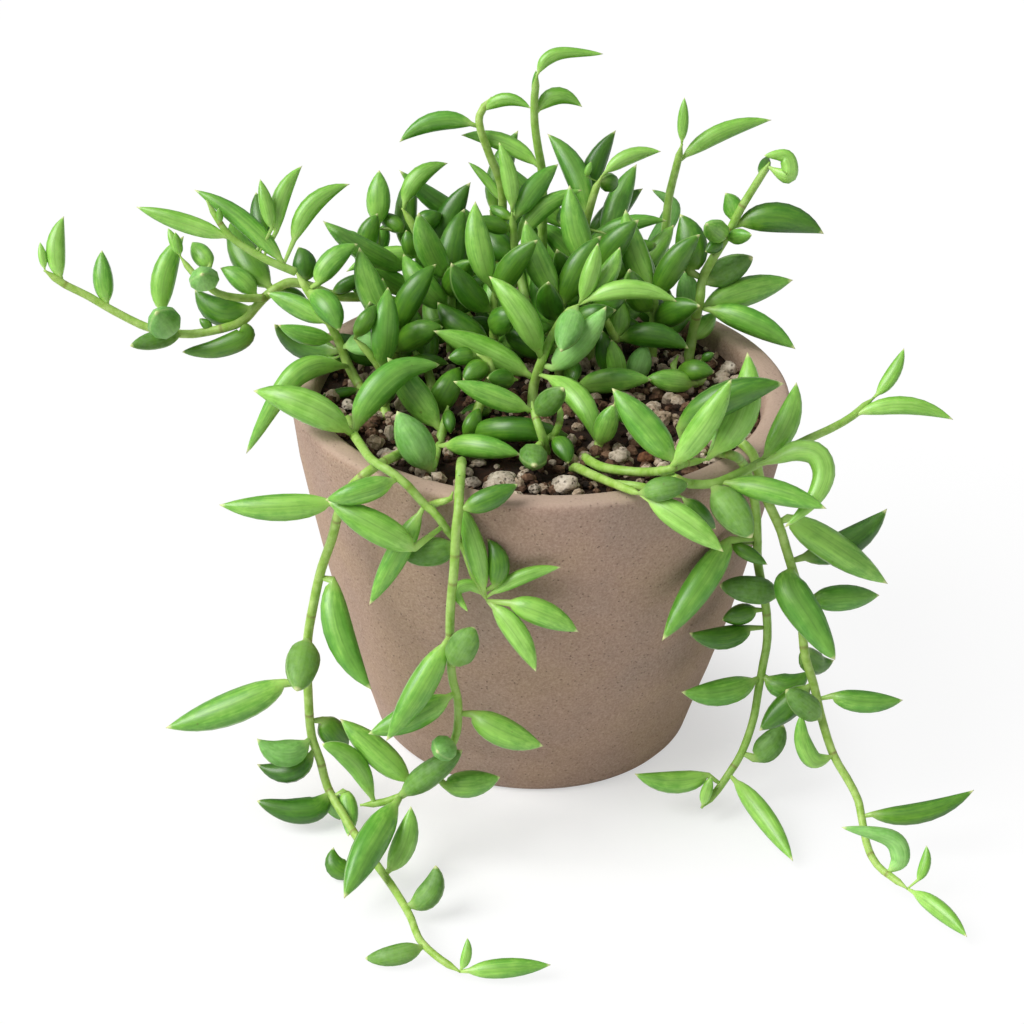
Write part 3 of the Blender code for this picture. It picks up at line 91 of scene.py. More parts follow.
def copyOf(piece, name):
    twin = bpy.data.objects.new(name, piece.data.copy())  # with its own mesh
    bpy.context.scene.collection.objects.link(twin)
    return twin


def pointValues(mesh, name, values):
    store = mesh.attributes.get(name) or mesh.attributes.new(name, "FLOAT", "POINT")
    store.data.foreach_set("value", np.asarray(values, np.float32))


def meshPoints(mesh):
    flat = np.zeros(len(mesh.vertices) * 3, np.float32)
    mesh.vertices.foreach_get("co", flat)
    return flat.reshape(-1, 3).astype(float)


def movePoints(mesh, points):
    mesh.vertices.foreach_set("co", np.asarray(points, np.float32).ravel())
    mesh.update()


# the sketch sheet and the eye that looks at it

sheet = {
    "pitch": 29.3,          # degrees that the eye looks down
    "roll": 1.2,            # degrees that the sheet leans
    "eyeDistance": 600.0,
    "eyeAside": 6.4,
    "eyeBelow": 32.2,
    "middleHeight": 95.5,
    "viewWidth": 256.0,     # how much of the sheet the camera takes in
}
pitch = math.radians(sheet["pitch"])
roll = math.radians(sheet["roll"])
toEye = np.array([0.0, -math.cos(pitch), math.sin(pitch)])
sheetUp = np.array([0.0, math.sin(pitch), math.cos(pitch)])
sheetRight = np.array([1.0, 0.0, 0.0])
eyeReach = sheet["eyeDistance"]
eye = np.array([0.0, 0.0, sheet["middleHeight"]]) + eyeReach * toEye
eye = eye - sheet["eyeAside"] * sheetRight - sheet["eyeBelow"] * sheetUp


def toWorld(u, v, w):
    u, v, w = (np.atleast_1d(np.asarray(a, float)) for a in (u, v, w))
    turnedU = math.cos(roll) * u - math.sin(roll) * v
    turnedV = math.sin(roll) * u + math.cos(roll) * v
    reach = (eyeReach - w)[:, None]
    spread = turnedU[:, None] * sheetRight + turnedV[:, None] * sheetUp
    return eye - toEye * reach + spread * reach / eyeReach


def toSheet(x, y, z):
    offset = np.array([x, y, z], float) - eye
    reach = -offset @ toEye
    turnedU = offset @ sheetRight * eyeReach / reach
    turnedV = offset @ sheetUp * eyeReach / reach
    u = math.cos(roll) * turnedU + math.sin(roll) * turnedV
    v = -math.sin(roll) * turnedU + math.cos(roll) * turnedV
    return float(u), float(v), float(eyeReach - reach)


def onSoil(u, v, z):
    # the place at height z behind a point of the sheet, drawn inwards where it would miss the mix
    step = 100.0
    start = toWorld(u, v, 0.0)[0][2]
    end = toWorld(u, v, step)[0][2]
    x, y, _ = toWorld(u, v, (z - start) / (end - start) * step)[0]
    inward = min(1.0, soil["reach"] / math.hypot(x, y))
    return toSheet(x * inward, y * inward, z)


# the pot and its mix, turned about the upright axis: (radius, height)

pot = {
    "outside": [
        (38.6, 0.0), (40.4, 0.5), (41.6, 2.0), (44.2, 11.0), (43.9, 12.0), (44.7, 13.0),
        (47.2, 21.0), (51.4, 36.0), (54.6, 50.0), (57.9, 66.0), (60.6, 80.0), (62.1, 92.0),
        (62.4, 94.2), (61.6, 95.3),
    ],
    "inside": [(57.4, 95.5), (56.2, 94.8), (55.6, 92.5), (53.6, 79.0), (38.5, 6.0)],
    "height": 95.5,
    "rimRadius": 62.5,
    "mixEdge": 55.4,        # where the top of the mix meets the wall
}
soil = {"top": 91.0, "gap": 0.3, "reach": 51.5}
rootHeight = soil["top"] + soil["gap"]


# vines: stem and branch points (u, v, w), then leaves: base u, base v, tip u, tip v, width, bow,
# swing towards the eye, tint, and the points that a hooked leaf passes

vines = {}
vines["vine_left_arm"] = {
    "stem": [
        (-22, 41, -37), (-25, 50, -33), (-33, 53.5, -29), (-44, 54, -25), (-52, 57, -22),
        (-57, 57, -21), (-62, 53.5, -20), (-67, 48, -20), (-72, 46, -20), (-80, 44.5, -20),
        (-86, 45, -20), (-92, 46.5, -20), (-100, 50.5, -19), (-106, 54, -18), (-112, 57, -17),
        (-117, 60.5, -16),
    ],
    "branches": [
        [(-62, 53.5, -20), (-68, 53.5, -17), (-73, 54.5, -15), (-76, 56.5, -15), (-80, 60, -15),
         (-83, 64, -15)],
    ],
    "leaves": [
        (-117, 60, -118, 67.5, 2, 0, 0, "light"), (-112, 57.5, -112, 74, 4.5, 2, 0, "light"),
        (-100.5, 52, -102.5, 65.5, 5, 0.5, 0, "mid"), (-85, 46, -89, 50, 8, 0, 16, "glaucous"),
        (-82, 44.5, -95.5, 41.5, 4.5, 0, 8, "blunt"), (-87.5, 50.5, -82, 69, 6, 2, 0, "mid"),
        (-67, 46.5, -82.5, 40, 5.5, 2.5, 0, "dark", [(-66.8, 44), (-74, 40.8)]),
        (-75, 46.7, -78.2, 48.4, 2.3, 0, 0, "dark"), (-63.5, 51.5, -79.3, 56, 7, 4, 0, "dark"),
        (-76, 57.5, -77.5, 59.5, 7.2, 0, 16, "glaucous"),
        (-75.5, 61.5, -80, 67.5, 5, 0, -6, "mid"), (-63, 55.5, -73, 61, 5, -1, 0, "mid"),
        (-60, 56, -70.3, 73, 7.8, 1.6, -8, "dark"), (-58, 54.5, -50.5, 51, 5, 0, -6, "dark"),
        (-52, 57, -53.5, 66.3, 6, -1, 0, "dark"), (-45, 56, -36, 59.5, 3.5, 0, 0, "dark"),
        (-38, 54.5, -38.5, 60.5, 4, 0, 0, "mid"), (-28, 55.5, -34.5, 59.5, 3.5, 0, 0, "dark"),
        (-83, 64, -86, 71, 2.5, 0, 0, "light"), (-83, 64, -84.2, 70, 2.2, 0, 4, "light"),
    ],
}
vines["vine_left_shoot"] = {
    "stem": [
        (-35.5, 28, -12), (-39, 33, -9.5), (-41.5, 38, -7), (-43, 42, -5), (-46, 48, -2),
        (-49, 52, 0), (-51.5, 56, 1.5), (-54, 60, 3),
    ],
    "branches": [
        [(-54, 60, 3), (-59, 62, 4), (-64, 64.5, 5), (-70, 68.5, 6), (-73.5, 73, 7),
         (-76.4, 78, 8)],
    ],
    "leaves": [
        (-73, 72, -73.4, 76, 1.8, 0, 2, "light"), (-70, 67.5, -94, 76.3, 4.5, 0, 0, "light"),
        (-56, 61, -79.5, 80.6, 5, -2, 0, "mid"), (-54.5, 68, -40.5, 82, 5, 3, 0, "light"),
        (-59, 70, -52.4, 86.6, 4.5, 2, 0, "light"), (-60, 71, -63, 83.3, 3.5, 0, 3, "light"),
        (-62, 68, -64, 80, 5, 0, -6, "dark"), (-48.7, 57, -38.5, 67, 5.5, 1.5, 0, "mid"),
        (-49.5, 56.5, -43.2, 45.2, 6.5, 1.5, 6, "mid"), (-44, 43.3, -58.5, 46.8, 4.5, 1, 6, "mid"),
        (-43, 40, -59.5, 47, 7.5, 2, -6, "dark"), (-47, 46, -61.3, 54.8, 5.5, -0.5, -2, "mid"),
        (-41.5, 41.5, -29.8, 40.2, 6, 1.5, 4, "glaucous"),
        (-41, 36.3, -66.5, 14.5, 6, 0, 4, "mid", [(-50, 36.3), (-57, 31)]),
        (-47, 37.5, -42, 37, 3.5, 0, -5, "mid"), (-38, 30.3, -48, 28.8, 2.5, 0, 0, "dark"),
    ],
}
vines["vine_front_left"] = {
    "stem": [
        (-41, 23.5, 1), (-40.2, 20.5, 19), (-38, 17, 33), (-35, 13, 49), (-30, 9.8, 52),
        (-26, 6.5, 52), (-22, 2, 49), (-19, -0.5, 49), (-17, -3.5, 49), (-14.5, -6.5, 46.5),
        (-12, -9, 46), (-9.5, -16, 44), (-6, -22.5, 43),
    ],
    "branches": [
        [(-21, 1.3, 47), (-19, 2.2, 47), (-15.5, 3.2, 46), (-14.8, 5, 46)],
    ],
    "leaves": [
        (-39.3, 18.8, -64.7, 30.3, 7.8, -2, 0, "light"),
        (-39.5, 19.5, -18, 36.8, 7.5, 0, -6, "mid", [(-37, 26), (-32, 32.3), (-26, 36)]),
        (-29, 7.5, -46.7, 3, 6, 0.5, 2, "mid"), (-24.5, -9, -46.2, 2.9, 7.5, 0, 5, "light"),
        (-22.5, 1, -35.7, -23.3, 6, 0, -4, "mid"), (-14, -9, -28.3, -10.2, 7, 1, 0, "blunt"),
        (-7, -21.5, -13.2, 3, 5.2, -0.6, 6, "light"),
        (-4.5, -18.5, -6.2, -6.7, 5.5, -2, 0, "dark"),
        (-5, -20.6, 12.3, -13.8, 3.8, 1.5, 2, "light"), (-4.7, -24, 6, -40, 5.5, 1.5, 0, "light"),
        (-0.5, -22.8, 16.6, -30, 6.5, 0.8, 0, "mid"),
        (-8.5, -22, -11, -25, 3.2, 0, 4, "light", [(-10.5, -18.3), (-14, -20)]),
    ],
}
vines["vine_long_left"] = {
    "stem": [
        (-21, 17.5, 6), (-27, 15, 25), (-32.5, 12.3, 36), (-37, 9.3, 44), (-41, 5.3, 42),
        (-43.3, 0, 40), (-45, -6.6, 35), (-47.8, -14.8, 30), (-49.6, -23, 26), (-51, -31, 22),
        (-51.2, -38, 18), (-51, -44.5, 15), (-50.2, -55.4, 9), (-48, -62, 7), (-46, -69, 6),
        (-42, -76, 10), (-38.3, -82, 16), (-33.2, -89, 25), (-29, -95, 33), (-25.5, -101, 40),
        (-23, -107, 46), (-18.3, -111.5, 51), (-12.9, -115, 54.5),
    ],
    "leaves": [
        (-45.5, 2.3, -73.3, 1.8, 6.8, 1, 0, "mid"), (-44.8, -17, -35, -44.5, 7.3, -3, 4, "mid"),
        (-51, -31, -53.8, -44.8, 8.5, 0, 12, "blunt"),
        (-57, -42.8, -86.7, -54, 7.8, 1.2, 0, "mid"), (-47.5, -52, -41, -59.5, 6.5, 0, -8, "dark"),
        (-51, -56.5, -63.8, -56.6, 7, 4, 6, "glaucous"), (-50, -59, -63.8, -63, 6, 4, -2, "dark"),
        (-46, -70, -63.8, -72.2, 6.3, 2.5, 2, "dark", [(-49, -74), (-56, -74.6)]),
        (-45.5, -69.5, -43, -77, 4.8, 0, -5, "glaucous"),
        (-42, -69.5, -41, -81.2, 4.5, 0.8, 5, "mid"),
        (-39.5, -90, -44.6, -83.8, 5.5, 2.5, 0, "dark"),
        (-30.9, -90.2, -25.3, -73.5, 6, -1.8, 0, "light"),
        (-26.5, -98.5, -19.1, -88.3, 6, -3, 0, "blunt"),
        (-22, -108.8, -36.7, -111.6, 5.5, 0.8, 0, "blunt"),
        (-11.7, -114, -11.2, -106.4, 2.6, -0.8, 0, "light"),
        (-11.5, -115, 9.8, -113.2, 5, 0, 0, "mid"),
    ],
}
vines["vine_middle"] = {
    "stem": [
        (-12.6, 12.8, 28), (-12.8, 11, 39.5), (-12.9, 8.5, 47.5), (-13.2, 4.7, 54),
        (-13.3, 1, 56.5), (-14, -5, 55), (-14.5, -14.4, 52), (-15.3, -22.7, 48), (-15.5, -31, 44),
        (-15, -41, 38), (-13.5, -47.5, 34), (-14, -55.8, 29), (-17.4, -61.6, 26), (-22, -66.5, 24),
        (-26, -70, 23), (-29, -71.5, 22), (-33, -72.7, 22), (-38, -73.3, 22),
    ],
    "leaves": [
        (-13.4, 0.5, 1.5, 7, 5.8, -0.5, 0, "dark"), (-16.3, -31, -31.5, -57.3, 7, 0.5, 0, "mid"),
        (-16, -38.5, -9.4, -28.8, 8, 0, 8, "blunt"),
        (-16.3, -45.6, -36, -55.5, 6.8, 0.8, 2, "mid"), (-10, -50.5, 7.9, -58.5, 7, -1, 0, "mid"),
        (-17.5, -57, -18.8, -60, 6.8, 0, 12, "glaucous"),
        (-17, -68, -2.9, -66.2, 6.5, -0.8, 0, "mid"), (-25.8, -66.8, -43, -51.7, 6.8, 0, 2, "mid"),
        (-34.5, -71.3, -47.5, -58, 5.5, 0, 8, "light", [(-38, -64.5), (-42.5, -60)]),
        (-28.3, -72, -12.4, -59.5, 6.5, 0, 6, "blunt"),
        (-26.5, -73, -42, -96.7, 7.8, -0.8, 16, "mid"),
    ],
}
vines["shoot_centre_front"] = {
    "stem": [
        (5, 26, -3), (5.5, 32, 1), (7.5, 38, 5), (10, 44, 8), (13.5, 49.5, 10), (17, 52, 11),
    ],
    "leaves": [
        (4.8, 33.5, -19.7, 45.3, 7, -1, 4, "light"), (7.5, 38, -5.8, 59, 6.5, -2, 4, "light"),
        (9.5, 33.5, 21, 17, 6, 3, 6, "light"), (10, 36, 23.6, 51.5, 7, -1, 6, "glaucous"),
        (17, 52, 41.4, 52.5, 4.6, 3.5, 0, "light"), (17.2, 52, 21.5, 67.3, 4.5, -0.5, 3, "light"),
        (19.5, 54, 27, 66.3, 5, -1, 0, "mid"), (16, 51.8, 12.2, 40, 6.5, 0, 10, "glaucous"),
    ],
}
vines["shoot_front"] = {
    "stem": [
        (8.5, 14.8, 22), (8, 17.5, 23), (7, 20.5, 25.5), (5.5, 25, 25), (5, 27.5, 24),
    ],
    "branches": [
        [(8, 17.6, 23), (6.4, 16.6, 25), (5, 16, 26.5)],
        [(8, 17.8, 23), (10.5, 19.2, 24), (12, 23, 24), (12, 27, 23)],
    ],
    "leaves": [
        (4.5, 24.8, -14.7, 32.7, 5.8, 0, 4, "mid"), (5.3, 24, 13, 31, 6, 0, 10, "blunt"),
        (5, 16, 5.6, 11.5, 7, 0, 16, "blunt"), (10, 18, 14, 12, 5, 1.2, 5, "dark"),
    ],
}
vines["shoot_low_left"] = {
    "stem": [
        (-18, 18, 5), (-17, 22, 12), (-16, 26.5, 13),
    ],
    "branches": [
        [(-17.8, 19.4, 9.5), (-18.9, 14, 19), (-20, 9.5, 28)],
    ],
    "leaves": [
        (-17, 19.8, -31.2, 38.7, 7.2, 0, 4, "mid"),
        (-20.5, 7.5, -28.8, 25.3, 8.6, 0, 6, "glaucous"),
        (-18.6, 16.6, 2.2, 14.2, 6, 1, 10, "mid"), (-16, 26, -15.3, 19.5, 3, 0, 3, "dark"),
    ],
}
vines["shoot_left"] = {
    "stem": [
        (-31.5, 24, -5), (-32, 30, -2), (-32.5, 35, 0), (-36, 40, 2), (-39.5, 43.5, 3),
    ],
    "leaves": [
        (-32, 25, -28, 36, 6.8, 2, 4, "dark"), (-32.3, 35, -31, 56.3, 7, 0, 4, "mid"),
        (-40, 44, -34, 51.8, 4.5, 0, 0, "dark"),
    ],
}
vines["shoot_inner_left"] = {
    "stem": [
        (-20, 30, -14), (-20.5, 34, -11), (-23, 38, -9), (-25, 41, -8),
    ],
    "leaves": [
        (-19.5, 25, -13, 36.3, 7, 0, 4, "dark"), (-27.5, 35, -15.7, 37, 4.5, 1.5, 0, "dark"),
        (-19.5, 37, -21, 48, 6, 0, 0, "dark"), (-25, 41, -24, 50.5, 5.5, 0, 0, "dark"),
    ],
}
vines["shoot_inner_front"] = {
    "stem": [
        (-10, 22, 1), (-8, 27, 3), (-6, 32, 5), (-5, 37, 7), (-9, 39.5, 8),
    ],
    "branches": [
        [(-6, 32, 5), (-2, 33.5, 6), (1.5, 33, 7)],
    ],
    "leaves": [
        (-11, 19.8, 15, 18.6, 6.5, 1.5, 0, "dark"), (-6, 37.5, -12.3, 33, 5.5, 0, 4, "dark"),
        (1, 33, -6.3, 33.5, 5, 0, 8, "dark"), (-10, 39, -16, 38.5, 4.5, 0, 2, "dark"),
        (-5, 26, -13, 24.8, 4, 0, 2, "dark"), (-11.5, 19, -8, 26, 4, 0, 2, "dark"),
    ],
}
vines["shoot_inner_back"] = {
    "stem": [
        (-1, 42, -40), (-1, 48, -36), (-1.5, 54.5, -31),
    ],
    "leaves": [
        (-1.5, 54.5, -23.3, 46.3, 5.3, -3.5, 4, "light"), (-1.5, 46, -9.5, 50.3, 5, 0, 2, "dark"),
        (-2, 44, 1.5, 44.5, 6, 0, 14, "dark"), (-4, 46, -12, 47.5, 4.6, 0, 12, "dark"),
        (3, 39, -4.5, 44.8, 4, 0, 4, "dark"),
    ],
}
vines["shoot_inner_right"] = {
    "stem": [
        (16, 42, -40), (17, 49, -36), (19, 56, -31),
    ],
    "leaves": [
        (19, 56, 6, 50.5, 7, 0, 4, "dark"), (12, 44, 13, 51, 4, 0, 3, "dark"),
        (14.5, 37, 16, 32.5, 5, 0, 7, "dark"),
    ],
}
vines["shoot_right"] = {
    "stem": [
        (24, 32, -19), (25, 37.5, -13), (26, 43, -9),
    ],
    "branches": [
        [(26, 43, -9), (24, 47, -7), (22.5, 51, -5)],
    ],
    "leaves": [
        (25.8, 43, 27, 54.2, 5.8, 0, 2, "light"), (26.3, 43.3, 44.2, 40.8, 6.2, 2.5, 4, "dark"),
        (27, 32.5, 24.8, 43.2, 4.8, 0, 7, "light"), (22, 33, 22.5, 45.5, 5, 0, 3, "dark"),
        (30.5, 33, 33.5, 42, 6, 0, 2, "glaucous"), (17, 31.5, 35, 33, 6, 0.8, 9, "mid"),
    ],
}
vines["shoot_right_low"] = {
    "stem": [
        (44, 31, -17), (42, 34, -14), (40, 35.5, -12), (41.5, 39, -11),
    ],
    "branches": [
        [(43.2, 32.3, -15.5), (46, 34.8, -13), (47.2, 38, -12)],
        [(43.2, 32.3, -15.5), (46.4, 32, -13), (48.5, 33.3, -12)],
    ],
    "leaves": [
        (46.5, 30, 33.5, 33.6, 5.8, 0, 6, "mid"), (41, 35.3, 50.6, 34.8, 5.3, 0.6, 5, "dark"),
        (47.2, 38, 50.6, 39.7, 2.2, 0, 2, "dark"),
    ],
}
vines["shoot_front_right"] = {
    "stem": [
        (21, 15, 12), (22.5, 19, 15), (25, 24, 18), (26, 28, 20),
    ],
    "leaves": [
        (20.5, 15, 25.5, 27, 6, 0, 6, "mid"), (26, 28, 30, 21.5, 4, 0, 5, "dark"),
    ],
}
vines["shoot_tallest"] = {
    "stem": [
        (8, 44, -45), (7.5, 60, -36), (7.7, 75, -27), (7.5, 85, -22), (6.5, 91, -18),
        (5.7, 97, -15), (5.6, 103, -12), (6.3, 109.5, -9),
    ],
    "leaves": [
        (7, 109.5, 22.9, 114.5, 3.3, 2.5, 0, "light", [(8.5, 113), (13, 114.8)]),
        (7, 99, 17.6, 101.2, 4.2, 4, 0, "light"), (7, 85.5, -12.8, 94.2, 4.5, -2.5, 0, "mid"),
        (5.5, 103, 6, 110.5, 1.8, 0, 3, "mid"),
    ],
}
vines["shoot_second"] = {
    "stem": [
        (-3, 45, -46), (-2.8, 62, -37), (-2.5, 80, -28), (-5.5, 89, -23), (-8, 96, -19),
        (-7.8, 100, -18), (-5, 103.7, -17),
    ],
    "leaves": [
        (-7.3, 99.5, 4.8, 100.8, 3.2, 3, 4, "light"), (-9.5, 96, -28.2, 92.4, 4.8, -3.5, 0, "mid"),
        (-3, 77, -11, 87.5, 2.4, -0.8, 0, "light"),
    ],
}
vines["shoot_centre_back"] = {
    "stem": [
        (5, 39, -34), (3.8, 50, -27), (2.5, 57, -23), (1, 64, -19), (0.3, 70, -15), (0, 75, -12),
    ],
    "leaves": [
        (0, 75, -3.3, 92.5, 4.2, -1, 3, "light"), (0.7, 66.5, 17.6, 80.5, 4.8, 2.8, 0, "mid"),
        (2.5, 72.5, 11.6, 87, 5.5, 1, -3, "mid"), (6, 53, 4.3, 68.5, 6.8, -1, 3, "mid"),
        (0, 70, -9.5, 73.5, 4, 0, 4, "dark"), (0, 62, -8.8, 71.3, 7, 0, -4, "dark"),
        (-0.5, 73, -5.7, 76.5, 3, 0, -3, "dark"),
    ],
}
vines["shoot_back_centre"] = {
    "stem": [
        (15, 44, -44), (15.5, 55, -38), (16.5, 62, -33), (18, 70, -28), (19.5, 76, -25),
        (21, 81, -22), (22.5, 84, -21),
    ],
    "leaves": [
        (22.5, 84, 37.3, 90.1, 3.8, 2, 0, "light"), (17.5, 73, 8.8, 94.6, 6, -2.5, -5, "mid"),
        (17.5, 64, 38.8, 72.8, 4.5, 3, 4, "mid"), (14.3, 60, 5.5, 72, 5.5, -2, 3, "mid"),
        (10, 56.5, 21, 62.5, 4, 0, 8, "dark"), (36, 66.5, 25, 66.3, 3.5, 0, 0, "dark"),
        (23.5, 68, 31.2, 87, 6, 0.8, -4, "mid"), (20, 83.5, 24.8, 79.8, 4.5, 1.5, -7, "dark"),
        (18.5, 84, 19.8, 87.6, 1.7, 0, 2, "light"), (12, 72, 15, 77, 4, 0, -8, "dark"),
    ],
}
vines["shoot_back_left"] = {
    "stem": [
        (-14, 44, -43), (-15.5, 55, -37), (-18, 60, -34), (-22, 66, -31), (-25, 72, -28),
        (-27.5, 76, -26),
    ],
    "leaves": [
        (-27.8, 75, -16, 87.2, 4.5, 3, 0, "light"),
        (-22.5, 62.8, -41.5, 60, 4.2, -2.2, 5, "light"),
        (-17.4, 61, -10.3, 82.5, 6.5, 2, 3, "dark"), (-11, 56.5, -13.7, 70.7, 6.8, 0, 6, "mid"),
        (-13.5, 57, -13.5, 59.5, 7.6, 0, 14, "dark"),
        (-15, 56, -23.4, 52.8, 5, -1.5, 6, "glaucous"), (-19, 57, -22.5, 56, 5, 0, 14, "dark"),
        (-25.5, 71, -17.5, 74.5, 5, 0, -4, "dark"), (-25, 64, -26.5, 70.5, 4, 0, 4, "dark"),
    ],
}
vines["shoot_far_left"] = {
    "stem": [
        (-29, 43, -44), (-30.5, 48, -41), (-33, 56, -36), (-34, 64, -31), (-33.5, 72, -27),
    ],
    "leaves": [
        (-35, 71, -33.2, 85.5, 5.6, 0, 2, "mid"), (-36.5, 63.5, -33.5, 74.7, 5.6, 1, 4, "dark"),
        (-27, 70.5, -33.5, 74.5, 4, 0, -4, "dark"), (-37.5, 67.5, -42, 70.4, 2.6, 0, 0, "mid"),
        (-32, 64, -31.5, 72.2, 4.2, 0, -4, "mid"),
    ],
}
vines["shoot_tall_right"] = {
    "stem": [
        (36, 46, -48), (37.5, 60, -40), (38.5, 72, -34), (39.3, 79, -30), (41, 86, -26),
        (42.5, 92, -23),
    ],
    "leaves": [
        (43, 93.5, 43.1, 103.7, 2.7, 0, 3, "light"), (42, 87, 65, 98, 4.2, 2.5, 0, "light"),
    ],
}
vines["shoot_back_right"] = {
    "stem": [
        (29, 44, -44), (29.8, 53, -38), (31, 59, -34),
    ],
    "leaves": [
        (31, 59, 40.5, 71.8, 4.8, 0, 2, "light"),
        (34, 66, 35, 80.6, 4.5, 0, -3, "glaucous", [(38.5, 72), (40, 77)]),
        (30, 54, 41, 46, 7, 0, 4, "dark"), (31.5, 60, 40, 54.5, 4.5, 0, 6, "dark"),
        (36.5, 56, 38.8, 66.5, 5.5, 0, -4, "glaucous"),
    ],
}
vines["shoot_rear_right"] = {
    "stem": [
        (44, 38, -31), (45.5, 46, -27), (47, 53.5, -22), (47.5, 58, -19), (50, 63, -16),
        (54, 69.5, -13), (57, 75.5, -10), (61, 82, -7), (64.5, 87.5, -5),
    ],
    "leaves": [
        (55.3, 71, 78, 69.5, 7.8, 3.3, 0, "dark"), (54.5, 72.5, 53.3, 79.8, 5, -1, 2, "mid"),
        (53.5, 68.5, 48.5, 72, 6, 0, 12, "mid"), (53, 68, 48.3, 65, 3.5, 0, 3, "dark"),
        (55, 67.5, 60, 69.3, 4, 0, 7, "mid"), (47.3, 57, 60.2, 63.8, 6.8, 0, 3, "blunt"),
        (46.8, 50.5, 70.3, 58, 7.2, 0.8, 0, "mid"), (50, 50.5, 70.9, 40.7, 6.3, 1.5, 4, "mid"),
        (46, 42.5, 51, 50, 4.5, 0, -2, "mid"), (43.5, 46.8, 43.2, 60.6, 6.6, 0, 6, "glaucous"),
        (44.5, 60, 42, 74.5, 8, -1.5, 2, "dark"),
        (64.5, 86, 63, 89.1, 4, 0, 2, "light", [(69, 84), (68.5, 88.8)]),
        (62, 84, 64, 89, 3, 0, -8, "dark"),
    ],
}
vines["vine_front_right"] = {
    "stem": [
        (15.3, 11.5, 20), (20, 9.3, 34), (25.6, 7, 46), (32.5, 4.3, 51.5),
    ],
    "branches": [
        [(25.6, 7, 46), (31, 6.6, 47), (37, 5.4, 46), (43, 3.6, 44)],
    ],
    "leaves": [
        (32.5, 4.3, 52.9, -10, 7, 0.8, 2, "light"), (42.5, 3.8, 51, -4.3, 4.5, 0, -4, "dark"),
        (31.8, 5, 44, 7, 6, 0, -4, "blunt"),
    ],
}
vines["vine_right_rim"] = {
    "stem": [
        (17.5, 14, 24), (22, 11.4, 34), (27, 10.4, 39), (33, 10, 42), (39, 10.6, 49),
        (44, 12.3, 43), (49, 13.2, 39),
    ],
    "leaves": [
        (39.5, 10, 54.9, 33.3, 7, -1, 8, "light"), (41, 13.5, 25, 31, 8, 0, 0, "mid"),
        (42, 21, 68.2, 32.1, 8, 2.5, 7, "dark"), (49.7, 13.4, 58.8, 40, 8, -4, 4, "light"),
        (50.5, 17.5, 54.5, 27.5, 4.5, 0, -3, "glaucous"),
    ],
}
vines["vine_right_arm"] = {
    "stem": [
        (37, 10.5, 29), (41, 8.3, 44), (45, 7, 47), (51, 7.3, 47), (58, 10.3, 45),
        (62.5, 12.6, 42), (70, 16.3, 38), (75, 18.7, 36), (80, 21, 34), (85, 23.9, 33),
        (90.5, 28.6, 31),
    ],
    "leaves": [
        (60, 11.3, 68, -4, 5.6, 0, 5, "light",
         [(66, 13.3), (71, 15.3), (76, 14.5), (78, 10), (76.5, 5), (73, 0.5)]),
        (52, 6.5, 78.7, 0.8, 6.3, 1, 6, "mid"), (50, 5.3, 60, -6.5, 8.3, 0, 4, "blunt"),
        (61.7, 13, 71.1, 32.5, 6, -2, -4, "light"), (85, 23.4, 110.4, 23, 4.5, 3.3, 0, "light"),
        (90.3, 28.8, 98, 41, 3.6, -1, 0, "light"),
    ],
}
vines["vine_right_wall"] = {
    "stem": [
        (50, 15, 21), (54, 14.5, 33), (57.5, 12.5, 37), (60, 6, 31), (61, 0, 27), (61.3, -7, 23),
        (61.5, -13, 19), (63.5, -24, 13), (63.8, -32, 9), (62.8, -38, 6), (61.7, -44, 4),
        (60.3, -52, 2), (57.5, -60, 1), (54.5, -65, 1), (51, -70, 2), (47.3, -74, 3.5),
    ],
    "leaves": [
        (54.5, -7, 37.5, -32.2, 7, 0, 8, "mid"), (55, -8, 63.9, -13.2, 3.6, 0, 4, "dark"),
        (66, -20.3, 51.8, -18.3, 7.2, 0, 6, "blunt"), (61, -24.5, 52.4, -27, 5, 0, 0, "dark"),
        (59.5, -29, 44.2, -30.2, 5.8, 2, 4, "dark"), (61.3, -41, 42.3, -45, 6.5, 2, 6, "mid"),
        (62.8, -40.5, 74.2, -39.6, 6, -3.5, 0, "mid"), (60.5, -61.5, 67.7, -53, 7, -1, 2, "blunt"),
        (49, -65.8, 30.6, -65.4, 5.5, 2, 2, "mid"), (47.3, -73.6, 49.8, -66, 2.8, 0, 2, "light"),
        (55.4, -66.3, 70.3, -87.4, 5.2, 0.8, 16, "light"),
    ],
}
